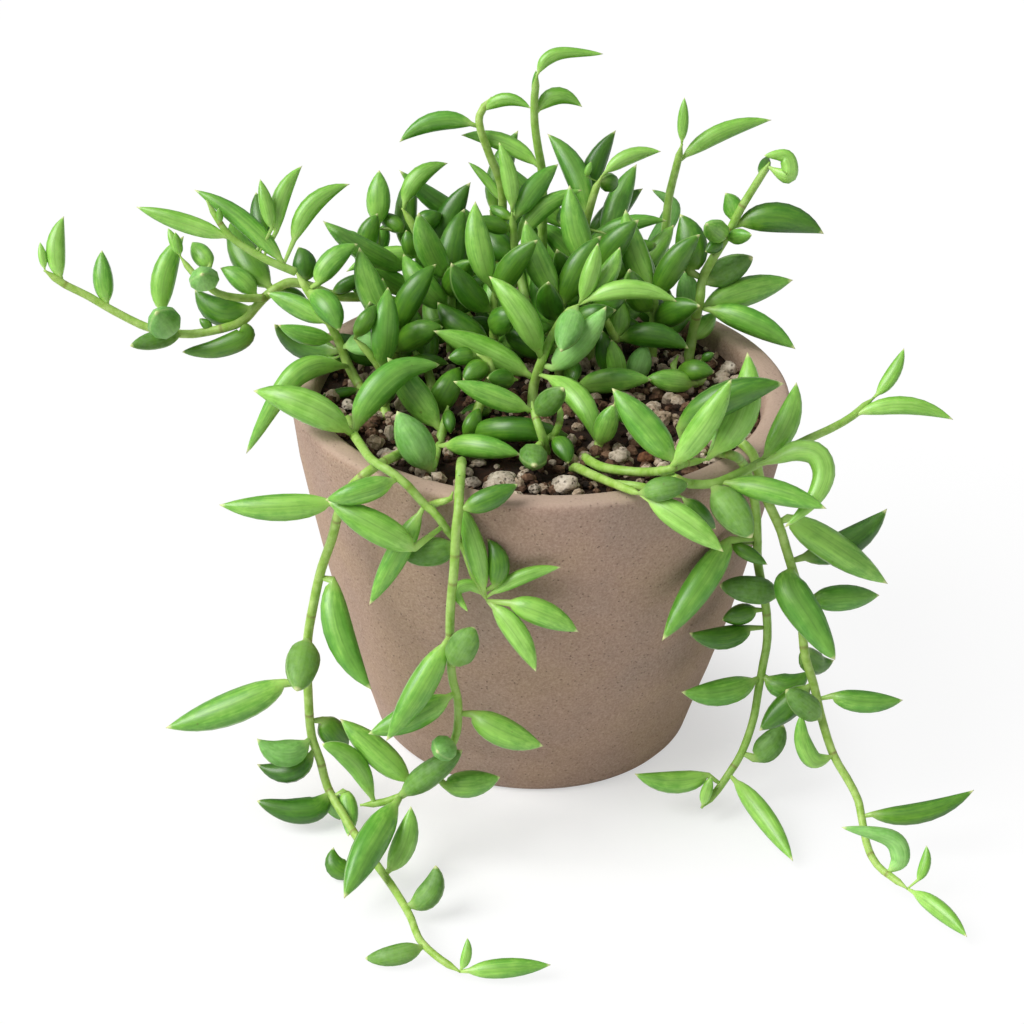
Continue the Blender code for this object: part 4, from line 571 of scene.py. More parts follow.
vines["vine_long_right"] = {
    "stem": [
        (53, 19, 4), (57, 17.5, 22), (60.5, 14, 30), (62, 8, 30), (64, 2.5, 29), (67, -4, 27),
        (68.5, -9, 25), (70, -14, 23), (72, -21, 20), (72.5, -28, 18), (73.3, -36, 16),
        (75.4, -43, 14), (77, -50, 12), (79, -57, 11), (81, -62, 11), (84, -67, 12),
        (86.5, -72, 13), (87.7, -78, 16), (89, -84, 20), (91.5, -88.5, 24), (95, -91.3, 27),
        (99, -94.3, 30),
    ],
    "leaves": [
        (69, -1.5, 94, -18, 7.5, 0, -6, "mid"), (73, -11.3, 93.8, 0.9, 7, -2.5, 0, "dark"),
        (75, -22, 91.9, -20.8, 6.8, 0, -4, "mid"),
        (69.3, -14, 80.8, -37, 8.5, 0, 6, "mid", [(69.5, -19), (75, -28)]),
        (72.5, -33, 80.5, -37, 6, -3, -6, "dark"), (80, -46, 97.8, -47, 5.8, -1, 0, "mid"),
        (73, -43.5, 61.8, -54.7, 6.2, 0, 0, "dark"), (79, -51.5, 68.4, -44.4, 6.3, 0, 6, "blunt"),
        (79, -61.5, 72.3, -50.5, 4.5, 0, 4, "mid", [(75.5, -62), (72.6, -57)]),
        (90, -75.6, 115.6, -69.4, 5.2, -2.5, 0, "dark"),
        (94, -90, 82.3, -78.8, 5, 0, 4, "glaucous", [(97, -86.5), (94.5, -81.5)]),
        (101.5, -92, 103.6, -83.3, 2.7, -0.8, 0, "light"),
        (99.5, -94.6, 113.8, -106.3, 4.4, 1, 12, "light"),
    ],
}


# stones and bark on the mix: u, v, width, height, kind

lumps = {
    "pumice_front": (-2, 8.5, 7.5, 3.6, "pale"),
    "pumice_front_left": (-9.7, 8.3, 3.6, 2.4, "grey"),
    "pumice_bright": (13.5, 7.6, 6.5, 4, "pale"),
    "pumice_small": (5.5, 6.6, 2.8, 2.2, "grey"),
    "pumice_right": (27, 14.5, 5.2, 4.6, "pale"),
    "bark_right": (33.4, 14.4, 3.8, 2.8, "brown"),
    "pumice_inner": (31.5, 19.5, 4.8, 3.4, "grey"),
    "pumice_rear_right": (55, 36.6, 4.2, 3.8, "pale"),
    "pumice_left": (-41, 27.6, 3.2, 2.4, "pale"),
    "pumice_low_left": (-31.5, 15.3, 3.8, 2.2, "grey"),
}


# shoots and vines that the front ones hide; a heading is in degrees about the pot's axis

def polar(heading, distance, z):
    angle = math.radians(heading)
    return distance * math.cos(angle), distance * math.sin(angle), z


def leafBetween(base, tip, width, tint):
    baseU, baseV, baseW = toSheet(*base)
    tipU, tipV, tipW = toSheet(*tip)
    bow = 1.5
    return (baseU, baseV, tipU, tipV, width, bow, tipW - baseW, tint)


middleShoots = {
    # x, y, height, heading of the lowest leaf
    "places": [
        (-12, 15, 24, 20), (5, 14, 22, 65), (-23, 25, 22, 110), (13, 23.5, 26, 30),
        (29, 24, 20, 45), (-37, 13, 13, 55),
    ],
    "leaves": 7,
    "leafFrom": (0.22, 0.12),   # shares of the height: the lowest leaf, and each step up
    "turn": 137,                # degrees from each leaf to the next
    "reach": (17, 1.2),         # of the lowest leaf, and how much less that of the next one is
    "rise": (6, 2.5),
    "width": 6.6,
}


def middleShoot(x, y, height, heading):
    points = [toSheet(x, y, rootHeight + height * step / 2) for step in range(3)]
    lowest, leafStep = middleShoots["leafFrom"]
    reach, reachStep = middleShoots["reach"]
    rise, riseStep = middleShoots["rise"]
    leaves = []
    for number in range(middleShoots["leaves"]):
        baseZ = soil["top"] + height * (lowest + leafStep * number)
        angle = math.radians(heading + middleShoots["turn"] * number)
        out = reach - reachStep * number
        tip = (x + out * math.cos(angle), y + out * math.sin(angle),
               baseZ + rise + riseStep * number)
        tint = "dark" if number % 3 else "mid"
        leaves.append(leafBetween((x, y, baseZ), tip, middleShoots["width"], tint))
    return {"stem": points, "leaves": leaves}


farShoots = {
    # heading, distance out, height, lean
    "places": [(74, 50, 30, 6), (97, 50, 28, 7), (122, 50, 20, 7)],
    "leaves": 5,
    "leafFrom": (0.25, 0.17),
    "aside": (17, 4),           # degrees to either side, and how much more at each step
    "reach": 9,
    "rise": (13, 2),
    "width": 5.6,
}


def farShoot(heading, distance, height, lean):
    points = []
    for step in range(4):
        share = step / 3
        points.append(toSheet(*polar(heading + lean * share, distance + lean * share,
                                     rootHeight + height * share)))
    lowest, leafStep = farShoots["leafFrom"]
    aside, asideStep = farShoots["aside"]
    rise, riseStep = farShoots["rise"]
    leaves = []
    for number in range(farShoots["leaves"]):
        share = lowest + leafStep * number
        side = 1 if number % 2 else -1
        out = distance + lean * share
        base = polar(heading + lean * share, out, soil["top"] + height * share)
        tip = polar(heading + side * aside + asideStep * number, out + farShoots["reach"],
                    base[2] + rise + riseStep * number)
        tint = "mid" if number % 2 else "dark"
        leaves.append(leafBetween(base, tip, farShoots["width"], tint))
    return {"stem": points, "leaves": leaves}


farTrailers = {
    # heading, height where it ends
    "places": [(68, 16), (112, 36)],
    # distance out and height, from the mix over the rim
    "start": [(42, rootHeight), (51, 94), (58, 99.5), (64, 99.2), (66.2, 93)],
    "hangFrom": 82,
    "hangStep": 11,
    "standOff": 2.6,            # from the rim, and from there down along the wall
    "wallSlope": 0.18,
    "sway": 2.5,                # degrees
    "drop": (17.0, 5.0),        # how far a leaf hangs, and what it keeps from the ground
    "aside": 14,
    "reach": 7,
    "width": 5.8,
}


def farTrailer(heading, endHeight):
    route = list(farTrailers["start"])
    height = farTrailers["hangFrom"]
    while height > endHeight:
        inwards = (pot["height"] - height) * farTrailers["wallSlope"]
        route.append((pot["rimRadius"] + farTrailers["standOff"] - inwards, height))
        height -= farTrailers["hangStep"]
    places = [polar(heading + farTrailers["sway"] * math.sin(k), out, z)
              for k, (out, z) in enumerate(route)]
    drop, fromGround = farTrailers["drop"]
    firstLeaf = 3  # the leaves start outside the rim
    leaves = []
    for number, base in enumerate(places[firstLeaf:]):
        side = 1 if number % 2 else -1
        out = route[number + firstLeaf][0] + farTrailers["reach"]
        fall = min(drop, base[2] - fromGround)
        tip = polar(heading + side * farTrailers["aside"], out, base[2] - fall)
        tint = "mid" if number % 3 else "light"
        leaves.append(leafBetween(base, tip, farTrailers["width"], tint))
    return {"stem": [toSheet(*place) for place in places], "leaves": leaves}


for label, shape, make in (("shoot_middle", middleShoots, middleShoot),
                           ("shoot_far_side", farShoots, farShoot),
                           ("vine_far_side", farTrailers, farTrailer)):
    for number, place in enumerate(shape["places"]):
        vines[f"{label}_{number + 1}"] = make(*place)


# making room: every stem and leaf is a run of rings that may shift along the line of sight

growth = {
    "stemStep": 13.0,           # distance between two rings of a stem
    "stemRadius": 1.35,
    "stemTaper": 0.3,           # share of the radius that is lost on the way to the tip
    "branchRadius": 0.8,        # share of a main stem's radius
    "jointRadius": 0.75,        # share of the branch's radius
    "bareFoot": 0.3,            # the part of a stem's first stretch that has no leaf
    "nodeMargin": 0.04,         # and the same at the ends of every other stretch
    "petioleRadius": 0.65,
    "petioleFlare": 1.3,
    "petioleFrom": 2.5,         # a leaf that starts further from its stem than this has a stalk
    "leafFoot": 0.62,           # share of the stem's radius
    "leafReach": 36.0,          # length and depth of a leaf together
    "leastReach": 8.0,          # the depth that any leaf may take
    "stubbyBelow": 13.0,
    # share of a leaf's length, share of half its width
    "stubby": [(0.0, 0.5), (0.4, 1.0), (1.0, 0.0)],
    "plump": [(0.0, 0.45), (0.2, 0.92), (0.5, 1.0), (0.8, 0.68), (1.0, 0.0)],
    "blunt": [(0.0, 0.6), (0.22, 0.95), (0.8, 0.85), (1.0, 0.0)],
    "hooked": [(0.0, 0.5), (0.14, 0.85), (0.34, 1.0), (0.56, 0.95), (0.78, 0.68), (1.0, 0.0)],
}
runs = []
chains = []
freedoms = 0


def splineWeights(count, position):
    # a smooth curve through points: how much of each point there is at a position along it
    index = min(int(position), count - 2)
    t = position - index
    shares = (
        (-t + 2 * t * t - t ** 3) / 2,
        (2 - 5 * t * t + 3 * t ** 3) / 2,
        (t + 4 * t * t - 3 * t ** 3) / 2,
        (-t * t + t ** 3) / 2,
    )
    weights = {}
    for offset, share in zip((-1, 0, 1, 2), shares):
        key = min(max(index + offset, 0), count - 1)
        weights[key] = weights.get(key, 0.0) + share
    return weights


def mixedRing(first, second, share):
    keys = set(first["row"]) | set(second["row"])
    row = {k: first["row"].get(k, 0) * (1 - share) + second["row"].get(k, 0) * share
           for k in keys}
    ring = {k: first[k] * (1 - share) + second[k] * share for k in ("u", "v", "w", "r", "along")}
    ring["row"] = row
    return ring


def addStem(vine, points, radius, parent=None):
    global freedoms
    first = freedoms
    freedoms += len(points)
    chains.append((first, len(points), parent is None))
    rings = []
    for index in range(len(points) - 1):
        here = np.array(points[index], float)
        there = np.array(points[index + 1], float)
        steps = max(1, round(float(np.linalg.norm(there - here)) / growth["stemStep"]))
        last = index == len(points) - 2
        for step in range(steps + (1 if last else 0)):
            weights = splineWeights(len(points), index + step / steps)
            place = sum(np.array(points[k], float) * s for k, s in weights.items())
            rings.append({"u": place[0], "v": place[1], "w": place[2], "along": 1.0,
                          "row": {first + k: s for k, s in weights.items()}})
    for number, ring in enumerate(rings):
        ring["r"] = radius * (1.0 - growth["stemTaper"] * number / (len(rings) - 1))
    rings[0]["along"] = 0.0
    if parent is not None:
        rings[0] = dict(parent, r=rings[0]["r"] * growth["jointRadius"], along=0.0)
    runs.append({"vine": vine, "kind": "stem", "rings": rings, "slim": 1.0, "points": points,
                 "first": first, "parent": parent, "radius": radius})
    return rings


def nearestRing(stems, u, v):
    best = None
    for rings in stems:
        for a, b in zip(rings[:-1], rings[1:]):
            span = (b["u"] - a["u"], b["v"] - a["v"])
            square = span[0] ** 2 + span[1] ** 2 or 1e-9
            share = ((u - a["u"]) * span[0] + (v - a["v"]) * span[1]) / square
            lowest = growth["bareFoot"] if a["along"] == 0 else growth["nodeMargin"]
            share = min(max(share, lowest), 1 - growth["nodeMargin"])
            ring = mixedRing(a, b, share)
            away = math.hypot(ring["u"] - u, ring["v"] - v)
            if best is None or away < best[0]:
                best = (away, ring)
    return best


def leafProfile(length, tint, hooked):
    if hooked:
        return growth["hooked"]
    if length < growth["stubbyBelow"]:
        return growth["stubby"]
    return growth["blunt"] if tint == "blunt" else growth["plump"]


def leafPlace(run, t):
    # sheet place of the leaf's middle line, t from its base to its tip
    through = run["through"]
    if len(through) > 2:
        weights = splineWeights(len(through), t * (len(through) - 1))
        return sum(through[k] * s for k, s in weights.items())
    chord = through[1] - through[0]
    left = np.array([-chord[1], chord[0]]) / max(float(np.linalg.norm(chord)), 1e-6)
    return through[0] + chord * t + left * run["bow"] * 4 * t * (1 - t)


def addLeaf(vine, stems, leaf):
    global freedoms
    baseU, baseV, tipU, tipV, width, bow, swing, tint = leaf[:8]
    away, root = nearestRing(stems, baseU, baseV)
    bend, lean = freedoms, freedoms + 1
    freedoms += 2
    start = np.array([baseU, baseV], float)
    if away <= growth["petioleFrom"]:
        start = np.array([root["u"], root["v"]])
        away = 0.0
    passing = [np.array(p, float) for p in leaf[8]] if len(leaf) > 8 else []
    through = [start, *passing, np.array([tipU, tipV], float)]
    length = sum(float(np.linalg.norm(b - a)) for a, b in zip(through[:-1], through[1:]))
    span = math.hypot(length, swing)
    depthLeft = max(growth["leafReach"] ** 2 - length ** 2, growth["leastReach"] ** 2)
    run = {"vine": vine, "kind": "leaf", "tint": tint, "lean": lean, "bend": bend,
           "swing": swing, "limit": math.sqrt(depthLeft), "slim": 1.0, "through": through,
           "bow": bow, "root": root, "away": away, "span": span, "width": width}
    rings = []
    if away > 0:
        rings.append(dict(root, r=growth["petioleRadius"], along=0.0))
    for t, fat in leafProfile(span, tint, bool(passing)):
        place = leafPlace(run, t)
        share = (away + t * span) / (away + span)
        row = dict(root["row"])
        row[lean] = share
        row[bend] = 4 * share * (1 - share)
        radius = width / 2 * fat
        if t == 0 and away == 0:
            radius = min(radius, growth["leafFoot"] * root["r"])
        elif t == 0:
            radius = min(radius, growth["petioleRadius"] * growth["petioleFlare"])
        rings.append({"u": place[0], "v": place[1], "w": root["w"] + swing * share, "row": row,
                      "r": radius, "along": share})
    run["rings"] = rings
    runs.append(run)


settling = {
    "rounds": 300,
    "freeRounds": 120,          # the last ones, in which stems are no longer smoothed
    "smoothing": 0.15,
    "ballStep": 2.6,
    "watch": (1.12, 1.0),       # two balls are watched within this many radii and millimetres
    "young": 0.3,               # the first part of a leaf may touch its own vine
    "clearance": 0.55,
    "kinClearance": 0.1,        # between stems and leaves of one vine
    "kinWeight": 0.4,
    "potWeight": 3,
    "leafFoot": 0.12,           # the part of a leaf, and of a stem's first stretch, that
    "stemFoot": 0.4,            # the pot doesn't push
    "pace": 0.9,                # share of each push that is followed
    "hold": 0.35,               # weight of staying where it is
    "relax": 0.995,
    "probe": 0.4,               # how far along the line of sight the pot's slope is measured
    "leastSlope": 0.35,
    "mostShove": 6,
    "mostLift": 8,
    "wallShare": 0.96,          # of the rim's radius: what is outside that, further back and
    "behind": 12,               # below the rim goes behind the pot
    "belowRim": 1.5,
    "slimRounds": 6,
    "slimPace": 0.6,
    "slimStep": 0.7,
    "slimmest": 0.5,
}


def ballsAlong(stones):
    # balls along all runs, then one for each stone, and what each freedom moves of them
    found = []
    for number, run in enumerate(runs):
        for a, b in zip(run["rings"][:-1], run["rings"][1:]):
            gap = math.hypot(b["u"] - a["u"], b["v"] - a["v"], b["w"] - a["w"])
            pieces = max(1, round(gap / settling["ballStep"]))
            for step in range(pieces):
                found.append((number, mixedRing(a, b, (step + 0.5) / pieces)))
    matrix = np.zeros((len(found) + len(stones), freedoms))
    for line, (_, ring) in enumerate(found):
        for key, share in ring["row"].items():
            matrix[line, key] = share
    data = {k: np.array([ring[k] for _, ring in found] + [s[k] for s in stones])
            for k in ("u", "v", "w", "r")}
    data["along"] = np.array([ring["along"] for _, ring in found] + [1.0] * len(stones))
    data["run"] = np.array([number for number, _ in found] + [-1 - k for k in range(len(stones))])
    owners = [runs[number]["vine"] for number, _ in found]
    owners += [f"stone {k}" for k in range(len(stones))]
    names = {name: k for k, name in enumerate(dict.fromkeys(owners))}
    data["vine"] = np.array([names[name] for name in owners])
    leafy = [runs[number]["kind"] == "leaf" for number, _ in found]
    data["leaf"] = np.array(leafy + [False] * len(stones))
    return data, matrix


def closePairs(data):
    u, v, r, along = data["u"], data["v"], data["r"], data["along"]
    radii, margin = settling["watch"]
    first, second = [], []
    for i in range(len(u)):
        away = np.hypot(u[i + 1:] - u[i], v[i + 1:] - v[i])
        near = away < (r[i + 1:] + r[i]) * radii + margin
        others = np.nonzero(near)[0] + i + 1
        others = others[data["run"][others] != data["run"][i]]
        kin = data["vine"][others] == data["vine"][i]
        young = (along[others] < settling["young"]) | (along[i] < settling["young"])
        others = others[~(kin & young)]
        first.extend([i] * len(others))
        second.extend(others.tolist())
    return np.array(first), np.array(second)


potSection = np.array([(0.0, 0.0), *pot["outside"],
                       *[p for p in pot["inside"] if p[1] > soil["top"]],
                       (pot["mixEdge"], soil["top"]), (0.0, soil["top"])])


def distanceToPot(place):
    # from the surface of the pot and its mix, negative inside
    point = np.stack([np.hypot(place[:, 0], place[:, 1]), place[:, 2]], axis=1)
    best = np.full(len(point), 1e9)
    inside = np.zeros(len(point), bool)
    for start, end in zip(potSection, np.roll(potSection, -1, axis=0)):
        edge = end - start
        share = np.clip((point - start) @ edge / (edge @ edge), 0, 1)
        away = np.linalg.norm(point - (start + share[:, None] * edge), axis=1)
        onAxis = start[0] == 0 and end[0] == 0
        best = best if onAxis else np.minimum(best, away)
        crosses = (start[1] > point[:, 1]) != (end[1] > point[:, 1])
        rise = np.where(edge[1] == 0, 1e-9, edge[1])
        at = start[0] + (point[:, 1] - start[1]) / rise * edge[0]
        inside ^= crosses & (point[:, 0] < at)
    return np.where(inside, -best, best)


def clearOfPot(place, sight, radius):
    # how far each ball has to move towards the eye, out of the pot and off the ground
    away = distanceToPot(place)
    probe = settling["probe"]
    slope = np.abs(distanceToPot(place + sight * probe) - away) / probe
    outside = np.hypot(place[:, 0], place[:, 1]) > settling["wallShare"] * pot["rimRadius"]
    belowRim = place[:, 2] < pot["height"] - settling["belowRim"]
    beyond = outside & (place[:, 1] > settling["behind"]) & belowRim
    short = radius + settling["clearance"] - away
    shove = np.clip(short / np.maximum(slope, settling["leastSlope"]), 0, settling["mostShove"])
    shove = np.where(short > 0, shove, 0.0)
    shove = np.where(beyond, -shove, shove)
    low = radius + settling["clearance"] - place[:, 2]
    lift = np.where(low > 0, np.clip(low / sight[:, 2], 0, settling["mostLift"]), 0.0)
    return np.where(lift > 0, lift, shove)


def frontToBack(data, first, second):
    # 1 where the first ball of a pair stays in front, -1 where it stays behind
    ahead = data["w"][first] - data["w"][second]
    stemsOnly = ~data["leaf"][first] & ~data["leaf"][second]
    run = data["run"] - data["run"].min()
    _, group = np.unique(run[first] * (run.max() + 1) + run[second], return_inverse=True)
    order = np.sign(np.where(stemsOnly, ahead, np.bincount(group, weights=ahead)[group]))
    order[order == 0] = 1.0
    return order


def smoothStems(move):
    for start, length, _ in chains:
        if length > 2:
            chain = move[start:start + length]
            smooth = (chain[:-2] + 2 * chain[1:-1] + chain[2:]) / 4
            chain[1:-1] += settling["smoothing"] * (smooth - chain[1:-1])


def settle(stones):
    data, matrix = ballsAlong(stones)
    first, second = closePairs(data)
    same = data["vine"][first] == data["vine"][second]
    order = frontToBack(data, first, second)
    clearance = np.where(same, settling["kinClearance"], settling["clearance"])
    move = np.zeros(freedoms)
    fixed = np.array([start for start, _, rooted in chains if rooted])
    leaves = [run for run in runs if run["kind"] == "leaf"]
    lean = np.array([run["lean"] for run in leaves])
    swing = np.array([run["swing"] for run in leaves], float)
    limit = np.array([run["limit"] for run in leaves])
    weight = np.abs(matrix)
    foot = np.where(data["leaf"], settling["leafFoot"], settling["stemFoot"])
    potWeight = (data["along"] > foot) * settling["potWeight"]
    for number in range(settling["rounds"]):
        depth = data["w"] + matrix @ move
        place = toWorld(data["u"], data["v"], depth)
        radius = data["r"] * (eyeReach - depth) / eyeReach
        push = np.zeros(len(depth))
        count = np.full(len(depth), 1e-9)
        sight = eye - place
        sight /= np.linalg.norm(sight, axis=1)[:, None]
        apart = place[first] - place[second]
        along = np.sum(apart * (sight[first] + sight[second]) / 2, axis=1)
        across = np.sum(apart * apart, axis=1) - along ** 2
        reach = radius[first] + radius[second] + clearance
        need = np.sqrt(np.maximum(reach ** 2 - across, 0.0)) - along * order
        active = (need > 0) & (reach ** 2 > across)
        give = np.where(active, need * order * 0.5, 0.0)  # each of the two goes half the way
        share = np.where(same, settling["kinWeight"], 1.0) * active
        np.add.at(push, first, give * share)
        np.add.at(push, second, -give * share)
        np.add.at(count, first, share)
        np.add.at(count, second, share)
        shove = clearOfPot(place, sight, radius) * potWeight
        push += shove
        count += (shove != 0) * settling["potWeight"]
        move += settling["pace"] * (matrix.T @ push / (weight.T @ count + settling["hold"]))
        move *= settling["relax"]
        if number < settling["rounds"] - settling["freeRounds"]:
            smoothStems(move)
        move[fixed] = 0.0
        move[lean] = np.clip(move[lean] + swing, -limit, limit) - swing
    return move, data, matrix, first, second, same


def slimDown(move, data, matrix, first, second, same):
    # leaves that still touch another vine get thinner
    depth = data["w"] + matrix @ move
    place = toWorld(data["u"], data["v"], depth)
    scale = (eyeReach - depth) / eyeReach
    slim = np.ones(len(runs) + len(data["r"]))
    for _ in range(settling["slimRounds"]):
        radius = data["r"] * scale * slim[data["run"]]
        away = np.linalg.norm(place[first] - place[second], axis=1)
        over = radius[first] + radius[second] + soil["gap"] - away
        for pair in np.nonzero((over > 0) & ~same)[0]:
            for ball in (first[pair], second[pair]):
                if data["leaf"][ball]:
                    run = data["run"][ball]
                    less = 1 - over[pair] * settling["slimPace"] / radius[ball]
                    wanted = slim[run] * max(less, settling["slimStep"])
                    slim[run] = max(min(slim[run], wanted), settling["slimmest"])
    for number, run in enumerate(runs):
        run["slim"] = slim[number]


for name, vine in vines.items():
    points = [tuple(p) for p in vine["stem"]]
    points[0] = onSoil(*points[0][:2], rootHeight)
    stems = [addStem(name, points, growth["stemRadius"])]
    for branch in vine.get("branches", []):
        _, joint = nearestRing(stems, branch[0][0], branch[0][1])
        stems.append(addStem(name, branch, growth["stemRadius"] * growth["branchRadius"], joint))
    for leaf in vine["leaves"]:
        addLeaf(name, stems, leaf)
stoneBalls = []
for u, v, width, height, _ in lumps.values():
    u, v, w = onSoil(u, v, rootHeight + height / 2)
    stoneBalls.append({"u": u, "v": v, "w": w, "r": width / 2})
shift, *facts = settle(stoneBalls)
slimDown(shift, *facts)
print("vines settled:", len(runs), "stems and leaves")


def runPath(run, steps):
    # fine middle line of a stem or leaf on the sheet, with its settled depth
    places = []
    for step in range(steps + 1):
        t = step / steps
        if run["kind"] == "stem":
            weights = splineWeights(len(run["points"]), t * (len(run["points"]) - 1))
            u, v, w = sum(np.array(run["points"][k], float) * s for k, s in weights.items())
            w += sum(shift[run["first"] + k] * s for k, s in weights.items())
        else:
            u, v = leafPlace(run, t)
            share = (run["away"] + t * run["span"]) / (run["away"] + run["span"])
            w = run["root"]["w"] + run["swing"] * share
            w += sum(shift[k] * s for k, s in run["root"]["row"].items())
            w += shift[run["lean"]] * share + shift[run["bend"]] * 4 * share * (1 - share)
        places.append((u, v, w))
    return np.array(places)


# colours and node helpers

def linear(hexColour):
    # sRGB hex to the renderer's linear values
    channels = [int(hexColour[i:i + 2], 16) / 255 for i in (1, 3, 5)]
    return (*[c / 12.92 if c <= 0.04045 else ((c + 0.055) / 1.055) ** 2.4 for c in channels], 1.0)


def setInputs(node, inputs):
    # each input gets a fixed value, a hex colour, or the node or socket that it is linked from
    for key, value in inputs.items():
        if isinstance(value, bpy.types.Node):
            value = next(socket for socket in value.outputs if socket.enabled)
        if isinstance(value, bpy.types.NodeSocket):
            node.id_data.links.new(value, node.inputs[key])
        else:
            node.inputs[key].default_value = linear(value) if isinstance(value, str) else value


def addNode(tree, kind, inputs=(), stops=(), **settings):
    # inputs: in their order, or by name or number; stops: position and colour along a ramp
    node = tree.nodes.new("ShaderNode" + kind)
    for key, value in settings.items():
        setattr(node, key, value)
    setInputs(node, inputs if isinstance(inputs, dict) else dict(enumerate(inputs)))
    elements = node.color_ramp.elements if stops else ()
    while len(elements) < len(stops):
        elements.new(0.5)
    for element, (position, colour) in zip(elements, stops):
        element.position = position
        element.color = linear(colour) if isinstance(colour, str) else (colour, colour, colour, 1)
    return node


def newMaterial(name):
    material = bpy.data.materials.new(name)
    material.use_nodes = True
    tree = material.node_tree
    return material, tree.nodes["Principled BSDF"], partial(addNode, tree)


def weighted(add, *terms):
    # the sum of several values, each times its own weight
    total = 0.0
    for value, weight in terms:
        total = add("Math", [value, weight, total], operation="MULTIPLY_ADD")
    return total


def coated(add, base, *coats):
    # coats: where the coat lies, how strong it is there, and its colour
    for mask, strength, colour in coats:
        share = add("Math", [mask, strength], operation="MULTIPLY")
        base = add("Mix", {0: share, 6: base, 7: colour}, data_type="RGBA")
    return base


# materials; the scale of a pattern in the object's metres is 1000 over its size in millimetres

potFinish = {
    "clay": "#AC9180",
    "clayWarm": "#B0957F",
    "clayGrey": "#A48D7F",
    # the lip colour is a painted highlight
    "lip": "#C0A896",
    "pore": "#6B594B",
    "grainMm": 0.62,            # grain and pores are coarser than real grit, so that they show
    "poreMm": 1.25,
    "poreGroupMm": 2.5,
    "cloudMm": 26.0,
    "turningMm": 2.856,         # between the faint rings that the wheel left
    "lipHighlight": (0.094, 0.0954),    # metres: where the painted highlight on the lip starts, and where it is strongest
}


def makePotClay():
    # matte fired clay: a fine even grain, small pores, and a painted highlight that makes the top
    # of the lip a little lighter
    clay, shader, add = newMaterial("unglazedTaupeClay")
    place = add("TexCoord").outputs["Object"]
    cloud = add("TexNoise", {"Vector": place, "Scale": 1000 / potFinish["cloudMm"], "Detail": 2.0,
                             "Roughness": 0.55})
    base = add("ValToRGB", [cloud], [(0.3, potFinish["clayGrey"]), (0.5, potFinish["clay"]),
                                     (0.72, potFinish["clayWarm"])])
    grain = add("TexNoise", {"Vector": place, "Scale": 1000 / potFinish["grainMm"], "Detail": 4.0,
                             "Roughness": 0.7})
    speckle = add("ValToRGB", [grain], [(0.33, 0.2), (0.67, 0.8)])
    base = add("Mix", {0: 0.52, 6: base, 7: speckle}, data_type="RGBA", blend_type="SOFT_LIGHT")
    pores = add("TexVoronoi", {"Vector": place, "Scale": 1000 / potFinish["poreMm"]})
    groups = add("TexNoise", {"Vector": place, "Scale": 1000 / potFinish["poreGroupMm"],
                              "Detail": 1.0, "Roughness": 0.55})
    pit = add("Math", [add("ValToRGB", [pores], [(0.1, 1.0), (0.19, 0.0)]),
                       add("ValToRGB", [groups], [(0.4, 0.0), (0.56, 1.0)])], operation="MULTIPLY")
    height = add("SeparateXYZ", [place]).outputs["Z"]
    # painted highlight: the clay turns paler towards the top of the lip
    lipHighlight = add("MapRange", [height, *potFinish["lipHighlight"]], interpolation_type="SMOOTHSTEP")
    base = coated(add, base, (pit, 0.5, potFinish["pore"]), (lipHighlight, 0.6, potFinish["lip"]))
    waves = math.pi / 10 / (potFinish["turningMm"] * mm)  # one wave is pi / 10 of its units
    turning = add("TexWave", {"Vector": place, "Scale": waves, "Distortion": 1.5, "Detail": 1.0,
                              "Detail Scale": 1.0}, bands_direction="Z").outputs["Fac"]
    rise = weighted(add, (turning, 0.12), (grain, 0.5), (pit, -0.8))
    setInputs(shader, {
        "Base Color": base, "Roughness": 0.82, "Specular IOR Level": 0.3,
        "Normal": add("Bump", {"Height": rise, "Strength": 0.85, "Distance": 0.0004})})
    return clay


soilFinish = {
    "dark": "#17110D",
    "brown": "#33241A",
    "rust": "#472C1D",
    "pale": "#6E5A47",
    "grainMm": 1.1,
    "clodMm": 6.0,
}


def makePottingMix():
    # damp peat: almost black, with red-brown fibres and a few pale grains
    peat, shader, add = newMaterial("dampPeatMix")
    place = add("TexCoord").outputs["Object"]
    clod = add("TexNoise", {"Vector": place, "Scale": 1000 / soilFinish["clodMm"], "Detail": 4.0,
                            "Roughness": 0.65})
    grain = add("TexNoise", {"Vector": place, "Scale": 1000 / soilFinish["grainMm"], "Detail": 5.0,
                             "Roughness": 0.75})
    tone = weighted(add, (grain, 0.5), (clod, 0.5))
    base = add("ValToRGB", [tone], [(0.36, soilFinish["dark"]), (0.5, soilFinish["brown"]),
                                    (0.6, soilFinish["rust"]), (0.7, soilFinish["pale"])])
    setInputs(shader, {
        "Base Color": base, "Specular IOR Level": 0.25,
        "Roughness": add("ValToRGB", [grain], [(0.3, 0.62), (0.7, 0.95)]),
        "Normal": add("Bump", {"Height": tone, "Strength": 1.0, "Distance": 0.0012})})
    return peat


stoneFinish = {
    "cloudMm": 4.5,
    "grainMm": 0.6,
    "dust": (0.0905, 0.0885),  # metres: below the first there is some dust, below the second most
}


